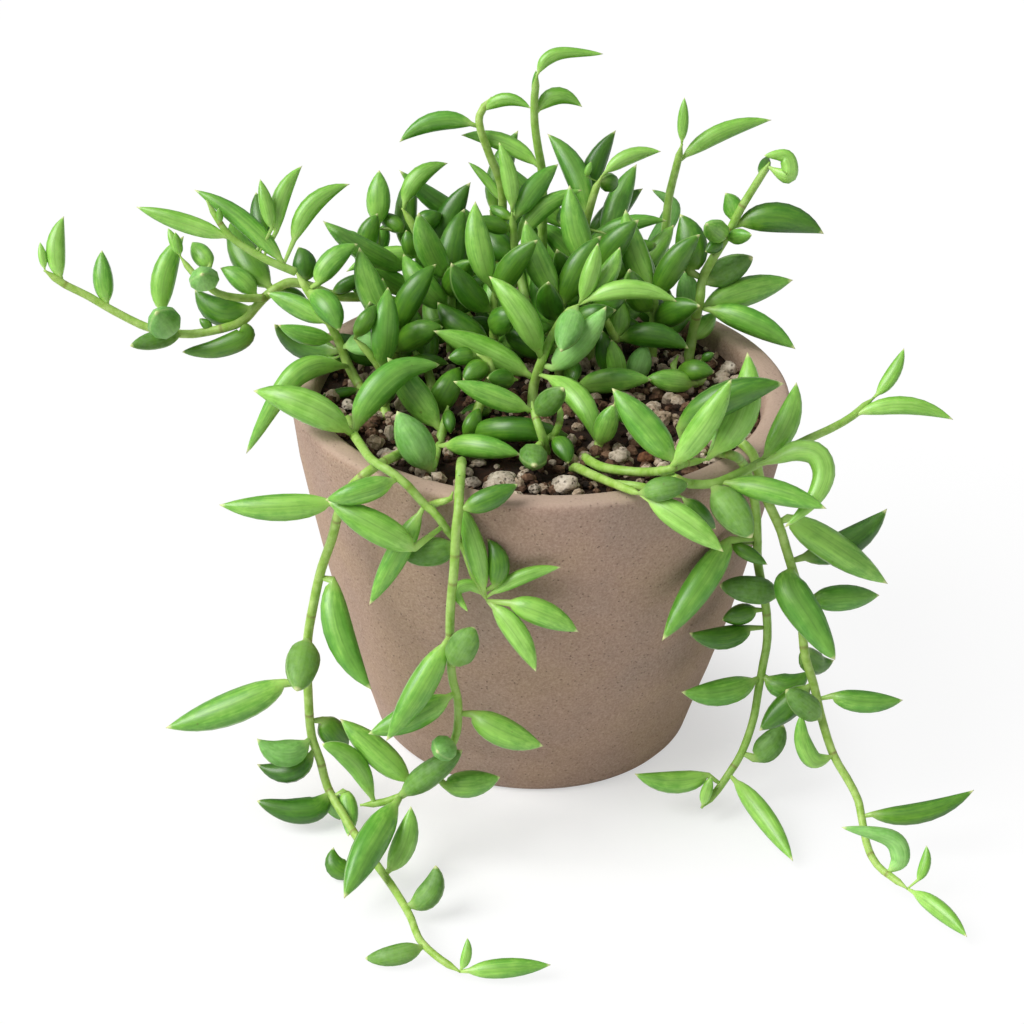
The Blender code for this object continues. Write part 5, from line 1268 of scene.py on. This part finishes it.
def makeStone(name, pale, mid, dark, holeMm):
    # light volcanic stone full of small holes, dusted with soil low down
    stone, shader, add = newMaterial(name)
    place = add("TexCoord").outputs["Object"]
    cloud = add("TexNoise", {"Vector": place, "Scale": 1000 / stoneFinish["cloudMm"],
                             "Detail": 4.0, "Roughness": 0.6})
    grain = add("TexNoise", {"Vector": place, "Scale": 1000 / stoneFinish["grainMm"],
                             "Detail": 4.0, "Roughness": 0.7})
    holes = add("TexVoronoi", {"Vector": place, "Scale": 1000 / holeMm})
    pit = add("ValToRGB", [holes], [(0.12, 1.0), (0.34, 0.0)])
    tone = weighted(add, (grain, 0.4), (cloud, 0.6))
    base = add("ValToRGB", [tone], [(0.34, dark), (0.47, mid), (0.62, pale)])
    height = add("SeparateXYZ", [place]).outputs["Z"]
    dust = add("MapRange", [weighted(add, (height, 1.0), (cloud, 0.003)), *stoneFinish["dust"]])
    base = coated(add, base, (pit, 0.7, dark), (dust, 0.7, soilFinish["brown"]))
    rise = weighted(add, (tone, 1.0), (pit, -0.9))
    setInputs(shader, {
        "Base Color": base, "Roughness": 0.93, "Specular IOR Level": 0.2,
        "Normal": add("Bump", {"Height": rise, "Strength": 0.9, "Distance": 0.0006})})
    return stone


leafFinish = {
    "light": ("#AFE66F", "#88C549", "#62A22A"),
    "mid": ("#A1DA5E", "#6DB03C", "#4B8E22"),
    "dark": ("#6DA32C", "#46811B", "#2D600B"),
    "glaucous": ("#ABE682", "#7FC05A", "#5A9A35"),
    "blunt": ("#82B34C", "#619433", "#44731A"),
    # painted highlight: the pale sheen along a leaf's outline
    "edge": "#B4D482",
    "tip": "#DDE0A0",
    "window": "#26501A",
    "powder": "#A9CB98",
    "speck": "#5C5A22",
    "stem": "#93BA45",
    "stemPale": "#B9D678",
    "node": "#7C6836",
    "veinMm": 0.5,
    "veinRunMm": 10.0,          # how far a vein keeps its tone
    "usualMm": (6.75, 24.0),    # width and length of the leaf that the veins are scaled for
    "mottleMm": 3.2,
    "powderMm": 1.4,
    "speckMm": 4.5,
    "speckGroupMm": 9.0,
    "stemMottleMm": 2.4,
}


def makeLeafSkin(name, tones, bloom):
    # plump satin leaf: lengthwise veins, a darker window line down the top, a pale dry point,
    # painted highlights down the middle and along the outline as the eye sees it, and painted
    # shade on its sides
    skin, shader, add = newMaterial(name)
    light, middle, deep = tones
    place = add("TexCoord").outputs["Object"]
    rest = add("Attribute", attribute_name="leafRest").outputs["Vector"]
    spot = add("SeparateXYZ", [rest]).outputs
    across, over, along = spot["X"], spot["Y"], spot["Z"]  # leaf widths, and 0 to 1 from the stalk
    tone = add("Attribute", attribute_name="leafTone").outputs["Fac"]
    usualWidth, usualLength = leafFinish["usualMm"]
    fine, long = usualWidth / leafFinish["veinMm"], usualLength / leafFinish["veinRunMm"]
    apart = 60.0  # each leaf has its own stretch of the noise
    veins = add("CombineXYZ", [weighted(add, (across, fine)), weighted(add, (over, fine)),
                               weighted(add, (along, long), (tone, apart))])
    streak = add("TexNoise", {"Vector": veins, "Scale": 1.0, "Detail": 3.0, "Roughness": 0.6})
    mottle = add("TexNoise", {"Vector": place, "Scale": 1000 / leafFinish["mottleMm"],
                              "Detail": 3.0, "Roughness": 0.55})
    # the over term is painted light and shade: the half of the leaf that faces the eye is a little
    # lighter, the far half darker
    shade = weighted(add, (mottle, 0.45), (streak, 0.6), (tone, 0.28), (over, 0.12), (along, -0.3))
    base = add("ValToRGB", [shade], [(0.26, deep), (0.49, middle), (0.74, light)])
    aside = add("Math", [across], operation="ABSOLUTE")
    # painted highlight: a lighter band down the middle of the leaf as the eye sees it
    paintedCentreHighlight = add("ValToRGB", [aside], [(0.08, 1.0), (0.26, 0.0)])
    # the window: one darker line down the middle of the upper face, fading at both ends
    window = add("ValToRGB", [aside], [(0.0, 1.0), (0.03, 0.55), (0.16, 0.4), (0.24, 0.0)])
    upper = add("Math", [over, 0.0], operation="GREATER_THAN")
    fade = add("ValToRGB", [along], [(0.1, 0.0), (0.3, 1.0), (0.72, 1.0), (0.92, 0.0)])
    for mask in (upper, fade):
        window = add("Math", [window, mask], operation="MULTIPLY")
    # painted shade: the leaf turns darker towards both sides as the eye sees it
    paintedSideShade = add("ValToRGB", [aside], [(0.2, 0.0), (0.44, 1.0)])
    # painted highlight: a pale sheen where the leaf's surface turns away from the eye, along its
    # outline
    margin = add("Math", [over], operation="ABSOLUTE")
    rim = add("ValToRGB", [margin], [(0.0, 1.0), (0.03, 0.6), (0.07, 0.0)])
    specks = add("TexVoronoi", {"Vector": place, "Scale": 1000 / leafFinish["speckMm"]})
    groups = add("TexNoise", {"Vector": place, "Scale": 1000 / leafFinish["speckGroupMm"],
                              "Detail": 1.0, "Roughness": 0.55})
    speck = add("Math", [add("ValToRGB", [specks], [(0.05, 1.0), (0.09, 0.0)]),
                         add("ValToRGB", [groups], [(0.5, 0.0), (0.58, 1.0)])],
                operation="MULTIPLY")
    point = add("ValToRGB", [along], [(0.945, 0.0), (0.975, 1.0)])
    foot = add("ValToRGB", [along], [(0.08, 1.0), (0.2, 0.0)])
    base = coated(add, base, (paintedCentreHighlight, 0.3, light),
                  (window, 0.4 - 0.18 * bloom, leafFinish["window"]),
                  (paintedSideShade, 0.46, deep),
                  (rim, 0.42, leafFinish["edge"]),
                  (speck, 0.5, leafFinish["speck"]),
                  (point, 0.85, leafFinish["tip"]),
                  (foot, 0.6, leafFinish["stemPale"]))
    if bloom:
        dust = add("TexNoise", {"Vector": place, "Scale": 1000 / leafFinish["powderMm"],
                                "Detail": 4.0, "Roughness": 0.55})
        powder = add("ValToRGB", [dust], [(0.35, 0.0), (0.65, 1.0)])
        base = coated(add, base, (powder, 0.16 * bloom, leafFinish["powder"]))
    wet = add("Math", [mottle, 0.16, 0.3 + 0.16 * bloom], operation="MULTIPLY_ADD")
    rise = weighted(add, (mottle, 0.3), (streak, 0.6))
    setInputs(shader, {
        "Base Color": base, "Roughness": wet, "Specular IOR Level": 0.62 - 0.2 * bloom,
        "Subsurface Weight": 0.12, "Subsurface Radius": (0.4, 1.0, 0.15),
        "Subsurface Scale": 0.0012,
        "Normal": add("Bump", {"Height": rise, "Strength": 0.16, "Distance": 0.0003})})
    return skin


def makeStemSkin():
    # green succulent stem: pale streaks, brown rings where old leaves sat
    skin, shader, add = newMaterial("greenStemSkin")
    place = add("TexCoord").outputs["Object"]
    ringed = add("Attribute", attribute_name="stemRing").outputs["Fac"]
    tone = add("Attribute", attribute_name="leafTone").outputs["Fac"]
    mottle = add("TexNoise", {"Vector": place, "Scale": 1000 / leafFinish["stemMottleMm"],
                              "Detail": 4.0, "Roughness": 0.6})
    scar = add("Math", [ringed, add("ValToRGB", [mottle], [(0.3, 0.5), (0.6, 1.0)])],
               operation="MULTIPLY")
    paler = add("ValToRGB", [mottle], [(0.35, 0.0), (0.65, 1.0)])
    base = coated(add, leafFinish["stem"],
                  (paler, 1.0, leafFinish["stemPale"]),
                  (tone, 0.35, leafFinish["mid"][1]),
                  (scar, 0.75, leafFinish["node"]))
    setInputs(shader, {
        "Base Color": base, "Roughness": 0.5, "Subsurface Weight": 0.15,
        "Subsurface Radius": (0.6, 1.0, 0.25), "Subsurface Scale": 0.001,
        "Normal": add("Bump", {"Height": mottle, "Strength": 0.35, "Distance": 0.0004})})
    return skin


potClay = makePotClay()
pottingMix = makePottingMix()
lumpSkins = {
    "pale": makeStone("paleVolcanicStone", "#D9CDBB", "#BCAE9A", "#6F6353", 1.3),
    "grey": makeStone("greyVolcanicStone", "#C9BEAE", "#A99D8C", "#62574A", 1.3),
    "brown": makeStone("rottedBarkChip", "#94684A", "#704A33", "#2F1F16", 2.0),
}
bitSkins = {
    "peat": pottingMix,
    "brown": makeStone("brownGrit", "#8B6D55", "#5C4434", "#2A1D15", 2.2),
    "pale": makeStone("paleGrit", "#D6C8B4", "#B09C84", "#7C6852", 1.6),
}
bloomOf = {"light": 0.0, "mid": 0.0, "dark": 0.0, "glaucous": 1.0, "blunt": 1.0}
leafSkins = {tint: makeLeafSkin(f"leafSkin_{tint}", leafFinish[tint], bloom)
             for tint, bloom in bloomOf.items()}
stemSkin = makeStemSkin()
print("materials made")


# master shapes, each one modelled once, standing on the origin with a length of 1

def turnedUp(name, sides, rings, flatness=1.0):
    # a ring of points is extruded upwards and scaled at each step, as on a lathe
    (start, wide), *others = rings  # height and width of each ring
    dropSelection()
    bpy.ops.mesh.primitive_circle_add(vertices=sides, radius=wide / 2, fill_type="NGON",
                                      location=(0, 0, start))
    piece = bpy.context.object
    piece.name = name
    bpy.ops.object.mode_set(mode="EDIT")
    bpy.ops.mesh.select_all(action="SELECT")
    bpy.ops.transform.resize(value=(1, flatness, 1), center_override=(0, 0, start))
    for height, width in others:
        bpy.ops.mesh.extrude_region_move(
            TRANSFORM_OT_translate={"value": (0, 0, height - start)})
        if width:
            share = width / wide
            bpy.ops.transform.resize(value=(share, share, 1), center_override=(0, 0, height))
        else:
            bpy.ops.mesh.merge(type="CENTER")
        start, wide = height, width
    bpy.ops.mesh.select_all(action="SELECT")
    bpy.ops.mesh.normals_make_consistent(inside=False)
    bpy.ops.object.mode_set(mode="OBJECT")
    bpy.ops.object.transform_apply(location=True, rotation=True, scale=True)
    return piece


leafShape = {
    "sides": 10,
    "thickness": 0.8,           # share of the width
    # share of the length, share of the width
    "pointed": [(0.0, 0.15), (0.1, 0.27), (0.15, 0.5), (0.21, 0.71), (0.28, 0.88), (0.37, 0.98),
                (0.47, 1.02), (0.58, 0.98), (0.69, 0.86), (0.79, 0.67), (0.87, 0.46),
                (0.94, 0.22), (0.975, 0.09), (1.0, 0.0)],
    "rounded": [(0.0, 0.15), (0.1, 0.32), (0.15, 0.52), (0.21, 0.72), (0.28, 0.88), (0.37, 0.98),
                (0.47, 1.0), (0.58, 0.96), (0.69, 0.87), (0.79, 0.71), (0.88, 0.5), (0.95, 0.26),
                (0.985, 0.1), (1.0, 0.0)],
    "hookedSteps": 22,          # more rings for leaves that bend a lot
    "petioleEnd": 0.1,          # share of the master that is leaf stalk
    "topLine": 0.93,            # the top line sinks a little
    "keel": 1.06,               # and the underside gets a faint keel
    "fullness": (1.0, 1.1),
    "roll": 18.0,               # degrees that a leaf may turn about its own middle line
    "pathSteps": 40,
}
stemShape = {
    "sides": 8,
    "internode": 7.0,           # distance between two nodes
    # share of an internode's length, share of its width
    "rings": [(0.0, 1.0), (0.08, 1.015), (0.18, 1.0), (0.55, 0.99), (0.9, 0.995), (1.0, 1.0)],
    "scarBand": (0.05, 0.15),
    "scarred": 0.22,            # share of the nodes with a brown leaf scar
    "rootDepth": 2.0,
    "tipLength": 3.0,           # the last stretch narrows to a share of its width
    "tipWidth": 0.35,
    "pathSteps": 10,            # for each drawn point
    "weld": 0.00002,            # metres
}


def modelLeaf(name, rings):
    leaf = turnedUp(name, leafShape["sides"], rings, leafShape["thickness"])
    points = meshPoints(leaf.data)
    central = np.abs(points[:, 0]) < 0.001
    points[central & (points[:, 1] > 0), 1] *= leafShape["topLine"]
    points[central & (points[:, 1] < 0), 1] *= leafShape["keel"]
    movePoints(leaf.data, points)
    rest = leaf.data.attributes.new("leafRest", "FLOAT_VECTOR", "POINT")
    rest.data.foreach_set("vector", points.astype(np.float32).ravel())
    pickOnly(leaf)
    bpy.ops.object.shade_smooth()
    return leaf


def modelStem():
    stem = turnedUp("masterStem", stemShape["sides"], stemShape["rings"])
    pickOnly(stem)
    bpy.ops.object.mode_set(mode="EDIT")
    bpy.ops.mesh.select_all(action="DESELECT")
    bpy.ops.object.mode_set(mode="OBJECT")
    for face in stem.data.polygons:
        face.select = abs(face.normal.z) > 0.99 and len(face.vertices) == stemShape["sides"]
    bpy.ops.object.mode_set(mode="EDIT")
    bpy.ops.mesh.delete(type="ONLY_FACE")  # both ends open, so that pieces of stem join up
    bpy.ops.object.mode_set(mode="OBJECT")
    height = meshPoints(stem.data)[:, 2]
    low, high = stemShape["scarBand"]
    pointValues(stem.data, "stemRing", (height > low) & (height < high))
    bpy.ops.object.shade_smooth()
    return stem


heights, widths = zip(*leafShape["pointed"])
steps = leafShape["hookedSteps"]
hooked = [(k / steps, float(np.interp(k / steps, heights, widths))) for k in range(steps + 1)]
masterLeaves = {
    "pointed": modelLeaf("masterLeafPointed", leafShape["pointed"]),
    "rounded": modelLeaf("masterLeafRounded", leafShape["rounded"]),
    "hooked": modelLeaf("masterLeafHooked", hooked),
}
masterStem = modelStem()
print("leaf and stem modelled")


def makeTrack(places):
    # sheet places -> points, tangents and two cross directions in world millimetres
    points = toWorld(places[:, 0], places[:, 1], places[:, 2])
    tangents = np.gradient(points, axis=0)
    tangents /= np.maximum(np.linalg.norm(tangents, axis=1), 1e-6)[:, None]
    middle = len(points) // 2
    sight = eye - points[middle]
    sight /= np.linalg.norm(sight)
    sides = np.zeros_like(points)
    start = np.cross(sight, tangents[middle])
    if np.linalg.norm(start) < 0.15:  # it points almost straight at the eye
        start = np.cross(sheetUp, tangents[middle])
    for order in (range(middle, len(points)), range(middle, -1, -1)):
        side = start
        for k in order:
            side = side - tangents[k] * (side @ tangents[k])
            side = side / np.linalg.norm(side)
            sides[k] = side
    return {
        "share": np.linspace(0, 1, len(points)),
        "point": points,
        "side": sides,
        "top": np.cross(tangents, sides),
        "scale": (eyeReach - places[:, 2]) / eyeReach,
    }


def threadOn(piece, track, shares, width, thickness, turn=0.0):
    # bends a master along a track; shares: where its points lie on the track, 0 to 1
    points = meshPoints(piece.data)

    def at(values):
        columns = [np.interp(shares, track["share"], values[:, k]) for k in range(3)]
        return np.stack(columns, axis=1)

    side, top = at(track["side"]), at(track["top"])
    scale = np.interp(shares, track["share"], track["scale"])
    across = side * math.cos(turn) + top * math.sin(turn)
    over = top * math.cos(turn) - side * math.sin(turn)
    moved = at(track["point"])
    moved += across * (points[:, 0] * width * scale)[:, None]
    moved += over * (points[:, 1] * thickness * scale)[:, None]
    movePoints(piece.data, moved * mm)


def growStem(run, dice):
    track = makeTrack(runPath(run, stemShape["pathSteps"] * (len(run["points"]) - 1)))
    if run["parent"] is None:
        foot = track["point"][0] - np.array([0, 0, stemShape["rootDepth"]])
        track["point"] = np.vstack([foot, track["point"]])
        for key in ("side", "top"):
            track[key] = np.vstack([track[key][:1], track[key]])
        track["scale"] = np.append(track["scale"][0], track["scale"])
    lengths = np.append(0, np.cumsum(np.linalg.norm(np.diff(track["point"], axis=0), axis=1)))
    track["share"] = lengths / lengths[-1]
    count = max(2, round(lengths[-1] / stemShape["internode"]))
    master = meshPoints(masterStem.data)
    pieces = []
    for number in range(count):
        piece = copyOf(masterStem, "internode")
        shares = (number + master[:, 2]) / count
        taper = 1.0 - growth["stemTaper"] * shares
        left = (1.0 - shares) * lengths[-1]
        tip = np.clip(left / stemShape["tipLength"], stemShape["tipWidth"], 1.0)
        shaped = master.copy()
        shaped[:, :2] *= (taper * tip)[:, None]
        movePoints(piece.data, shaped)
        threadOn(piece, track, shares, run["radius"] * 2, run["radius"] * 2)
        if dice.random() > stemShape["scarred"]:
            pointValues(piece.data, "stemRing", [0.0] * len(piece.data.vertices))
        pieces.append(piece)
    stem = joinPieces(pieces, "stem")
    bpy.ops.object.mode_set(mode="EDIT")
    bpy.ops.mesh.select_all(action="SELECT")
    bpy.ops.mesh.remove_doubles(threshold=stemShape["weld"])
    bpy.ops.mesh.select_all(action="DESELECT")
    bpy.ops.mesh.select_non_manifold()
    bpy.ops.mesh.edge_face_add()
    bpy.ops.mesh.select_all(action="SELECT")
    bpy.ops.mesh.normals_make_consistent(inside=False)
    bpy.ops.object.mode_set(mode="OBJECT")
    pointValues(stem.data, "leafTone", [dice.random()] * len(stem.data.vertices))
    stem.data.materials.append(stemSkin)
    return stem


def growLeaf(run, dice):
    root = run["root"]
    places = runPath(run, leafShape["pathSteps"])
    stalked = run["away"] > 0
    shares = np.linspace(0, 1, len(places))
    if stalked:
        depth = root["w"] + sum(shift[k] * s for k, s in root["row"].items())
        places = np.vstack([(root["u"], root["v"], depth), places])
        shares = leafShape["petioleEnd"] + (1 - leafShape["petioleEnd"]) * shares
        shares = np.append(0.0, shares)
    track = makeTrack(places)
    track["share"] = shares
    form = "rounded" if run["tint"] == "blunt" else "pointed"
    if len(run["through"]) > 2:
        form = "hooked"
    leaf = copyOf(masterLeaves[form], "leaf")
    width = run["width"] * dice.uniform(*leafShape["fullness"])
    threadOn(leaf, track, meshPoints(leaf.data)[:, 2], width, width * run["slim"],
             math.radians(dice.uniform(-leafShape["roll"], leafShape["roll"])))
    pointValues(leaf.data, "leafTone", [dice.random()] * len(leaf.data.vertices))
    leaf.data.materials.append(leafSkins[run["tint"]])
    return leaf


firstSeed = 100
for order, name in enumerate(vines):
    dice = random.Random(firstSeed + order)
    parts = [growStem(run, dice) if run["kind"] == "stem" else growLeaf(run, dice)
             for run in runs if run["vine"] == name]
    vine = joinPieces(parts, name.replace("_", "-"))
    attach(vine, "root")
    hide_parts(name)
for master in (*masterLeaves.values(), masterStem):
    bpy.data.objects.remove(master, do_unlink=True)
print("vines grown:", len(vines))


# pot

potShape = {
    "sides": 128,
    "groove": (44.15, 12.0),    # softer than the outline's
    "lipFrom": 92.0,            # from here up the outline is replaced by a rounder lip
    "lip": [(62.4, 93.8), (62.25, 94.6), (61.8, 95.15), (61.0, 95.45), (58.6, 95.5),
            (57.4, 95.35), (56.4, 94.8), (55.8, 93.6), (55.5, 92.0)],
    "creaseAngle": 40,          # degrees
}


def makePot():
    groove, lip = potShape["groove"], potShape["lip"]
    wall = [groove if z == groove[1] else (r, z) for r, z in pot["outside"]
            if z <= potShape["lipFrom"]]
    bore = [(r, z) for r, z in pot["inside"] if z < lip[-1][1]]
    body = turnedUp("turnedPot", potShape["sides"], [(z, r * 2) for r, z in wall + lip + bore])
    movePoints(body.data, meshPoints(body.data) * mm)
    pickOnly(body)
    bpy.ops.object.shade_smooth_by_angle(angle=math.radians(potShape["creaseAngle"]))
    body.data.materials.append(potClay)
    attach(body, "root")
    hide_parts("pot")


makePot()
print("pot turned")


# potting mix with its crumbs

mix = {
    "sides": 110,
    "radius": 55.3,
    "bottom": 84.0,
    "rings": 44,
    "rise": 2.0,                # height of the waves
    # distance between waves, their layer of noise, share of the height
    "waves": [(11, 3.0, 0.45), (3.6, 9.0, 0.3), (1.3, 5.0, 0.18)],
    "sink": 0.5,
    "bits": 1900,
    "edge": 54.3,
    # share of all bits, sizes, finish
    "kinds": [(0.42, (0.8, 2.4), "peat"), (0.28, (1.2, 3.6), "brown"), (0.3, (1.2, 4.4), "pale")],
    "bitShapes": 4,
    "bitCut": 0.3,              # shares of a bit's size
    "bitWarp": 0.09,
    "bitLift": 0.25,
    "bitSink": 0.45,
    "bitStretch": [(0.8, 1.35), (0.7, 1.1), (0.55, 0.95)],
    "bitTurn": 6.28,            # radians
    "shapeSeed": 3,
    "seed": 7,
}


def bumps(x, y):
    return mix["rise"] * sum(share * noise.noise(Vector((x / size, y / size, layer)))
                             for size, layer, share in mix["waves"])


def modelBit(name, seed):
    # a broken grain: a cube with its edges cut off unevenly
    dropSelection()
    bpy.ops.mesh.primitive_cube_add(size=1)
    bit = bpy.context.object
    bit.name = name
    bpy.ops.object.mode_set(mode="EDIT")
    bpy.ops.mesh.select_all(action="SELECT")
    bpy.ops.mesh.bevel(offset=mix["bitCut"], segments=1, affect="EDGES")
    bpy.ops.transform.vertex_random(offset=mix["bitWarp"], seed=seed)
    bpy.ops.object.mode_set(mode="OBJECT")
    return bit


def scatterBit(master, size, skin, dice):
    angle, out = dice.uniform(0, 2 * math.pi), mix["edge"] * math.sqrt(dice.random())
    x, y = out * math.cos(angle), out * math.sin(angle)
    size = size[0] + (size[1] - size[0]) * dice.random() ** 2
    turn = Matrix.Rotation(dice.uniform(0, mix["bitTurn"]), 3,
                           Vector((dice.random(), dice.random(), 1)))
    stretch = [dice.uniform(*limits) for limits in mix["bitStretch"]]
    height = soil["top"] + bumps(x, y) - mix["bitSink"] + size * mix["bitLift"]
    shape = meshPoints(master.data) * stretch * size
    bit = copyOf(master, "bit")
    movePoints(bit.data, (shape @ np.array(turn).T + [x, y, height]) * mm)
    bit.data.materials.append(skin)
    return bit


def makeMix():
    width, count = mix["radius"] * 2, mix["rings"]
    rings = [(mix["bottom"], width)]
    rings += [(soil["top"], width * (1 - k / count)) for k in range(count)]
    bed = turnedUp("pottingMix", mix["sides"], rings)
    points = meshPoints(bed.data)
    for point in points:
        if point[2] > mix["bottom"] + 1:
            point[2] += bumps(point[0], point[1]) - mix["sink"]
    movePoints(bed.data, points * mm)
    bed.data.materials.append(pottingMix)
    pickOnly(bed)
    bpy.ops.object.shade_smooth()
    masters = [modelBit(f"masterBit{k}", mix["shapeSeed"] + k) for k in range(mix["bitShapes"])]
    dice = random.Random(mix["seed"])
    bits = [bed]
    for share, size, finish in mix["kinds"]:
        for _ in range(round(mix["bits"] * share)):
            bits.append(scatterBit(dice.choice(masters), size, bitSkins[finish], dice))
    bed = joinPieces(bits, "pottingMix")
    for master in masters:
        bpy.data.objects.remove(master, do_unlink=True)
    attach(bed, "root")
    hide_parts("potting_soil")


makeMix()
print("potting mix laid")


# stones and bark

stoneShape = {
    "subdivisions": 4,
    "swell": (1.1, 0.36),       # waves in one radius, share of the radius
    "rough": (5.0, 0.1),
    "pitSize": 0.34,            # shares of the radius
    "pitDepth": 0.05,
    "pitted": 0.3,              # share of the surface
    "halfDepth": 2.3,           # the width over this
    "sink": 0.6,
}


def makeLump(name, number, lump):
    u, v, width, height, kind = lump
    x, y, _ = toWorld(*onSoil(u, v, rootHeight + height / 2))[0]
    dropSelection()
    bpy.ops.mesh.primitive_ico_sphere_add(subdivisions=stoneShape["subdivisions"], radius=1)
    piece = bpy.context.object
    piece.name = name.replace("_", "-")
    swellWaves, swell = stoneShape["swell"]
    roughWaves, rough = stoneShape["rough"]
    # each stone has its own places in the noise
    swellPlace, roughPlace, pitPlace = (Vector(place) for place in (
        (number * 7.3, 0, 0), (0, number * 5.7, 0), (number * 3.1, 1, 4)))
    points = meshPoints(piece.data)
    for k, point in enumerate(points):
        way = Vector(point)
        size = 1 + noise.noise(way * swellWaves + swellPlace) * swell
        size += noise.noise(way * roughWaves + roughPlace) * rough
        if noise.cell(way / stoneShape["pitSize"] + pitPlace) > 1 - stoneShape["pitted"]:
            size -= stoneShape["pitDepth"]
        points[k] = np.array(way) * size * [width / 2, width / stoneShape["halfDepth"], height / 2]
    points[:, 2] -= points[:, 2].min()
    movePoints(piece.data, (points + [x, y, soil["top"] - stoneShape["sink"]]) * mm)
    pickOnly(piece)
    bpy.ops.object.shade_smooth()
    piece.data.materials.append(lumpSkins[kind])
    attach(piece, "root")
    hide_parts(name)


for number, (name, lump) in enumerate(lumps.items()):
    makeLump(name, number, lump)
print("stones laid:", len(lumps))


# room: pale floor, soft light, camera

room = {
    "floorSize": 6.0,           # metres
    "floor": 0.9,               # how pale the floor is to the light that falls on it
    "floorSeen": 0.5,           # the part of its tone that takes shadow near the pot, and far out
    "floorFar": 0.09,
    "shadowCentre": (-0.004, -0.022, 0),  # metres
    "shadowEdge": (0.045, 0.1),  # metres from there: where the shadow starts to fade, and ends
    "floorLit": 0.98,           # how bright a part that takes shadow is in full light
    "sky": 0.38,
    "sun": 3.1,
    "sunFrom": (-0.82, -0.34, 0.9),
    "sunWidth": 38.0,           # degrees across, for a soft shadow
    "sensor": 36.0,
}


def makeFloor():
    dropSelection()
    bpy.ops.mesh.primitive_plane_add(size=room["floorSize"])
    floor = bpy.context.object
    floor.name = "floor"
    paint, shader, add = newMaterial("paleStudioFloor")
    ray = add("LightPath").outputs
    seen = ray["Is Camera Ray"]
    for other in ("Is Glossy Ray", "Is Transmission Ray"):
        seen = add("Math", [seen, ray[other]], operation="MAXIMUM")
    place = add("TexCoord").outputs["Object"]
    out = add("VectorMath", [place, room["shadowCentre"]], operation="DISTANCE")
    tone = add("MapRange", [out, *room["shadowEdge"], room["floorSeen"], room["floorFar"]],
               interpolation_type="SMOOTHSTEP")
    glow = add("Math", [tone, -room["floorLit"], 1.0], operation="MULTIPLY_ADD")
    setInputs(shader, {
        "Base Color": add("Mix", {0: seen, 6: (*[room["floor"]] * 3, 1), 7: tone},
                          data_type="RGBA"),
        "Roughness": 1.0, "Specular IOR Level": 0.0, "Emission Color": (1, 1, 1, 1),
        "Emission Strength": add("Math", [seen, glow], operation="MULTIPLY")})
    floor.data.materials.append(paint)


def makeLight():
    world = bpy.data.worlds.new("studio")
    bpy.context.scene.world = world
    world.use_nodes = True
    tree = world.node_tree
    seen = addNode(tree, "LightPath").outputs["Is Camera Ray"]
    lit = addNode(tree, "Math", [seen, 1 - room["sky"], room["sky"]], operation="MULTIPLY_ADD")
    setInputs(tree.nodes["Background"], {"Color": (1, 1, 1, 1), "Strength": lit})
    lamp = bpy.data.lights.new("sun", "SUN")
    lamp.energy = room["sun"]
    lamp.angle = math.radians(room["sunWidth"])
    holder = bpy.data.objects.new("sun", lamp)
    holder.rotation_euler = (-Vector(room["sunFrom"])).to_track_quat("-Z", "Y").to_euler()
    bpy.context.scene.collection.objects.link(holder)


def makeCamera():
    lens = bpy.data.cameras.new("view")
    lens.sensor_width = room["sensor"]
    lens.lens = room["sensor"] * sheet["eyeDistance"] / sheet["viewWidth"]
    holder = bpy.data.objects.new("view", lens)
    right = sheetRight * math.cos(roll) + sheetUp * math.sin(roll)
    up = sheetUp * math.cos(roll) - sheetRight * math.sin(roll)
    turn = Matrix((right, up, toEye)).transposed().to_4x4()
    holder.matrix_world = Matrix.Translation(Vector(eye * mm)) @ turn
    bpy.context.scene.collection.objects.link(holder)
    bpy.context.scene.camera = holder


makeFloor()
makeLight()
makeCamera()
bpy.context.scene.view_settings.view_transform = "Standard"
print("scene ready")
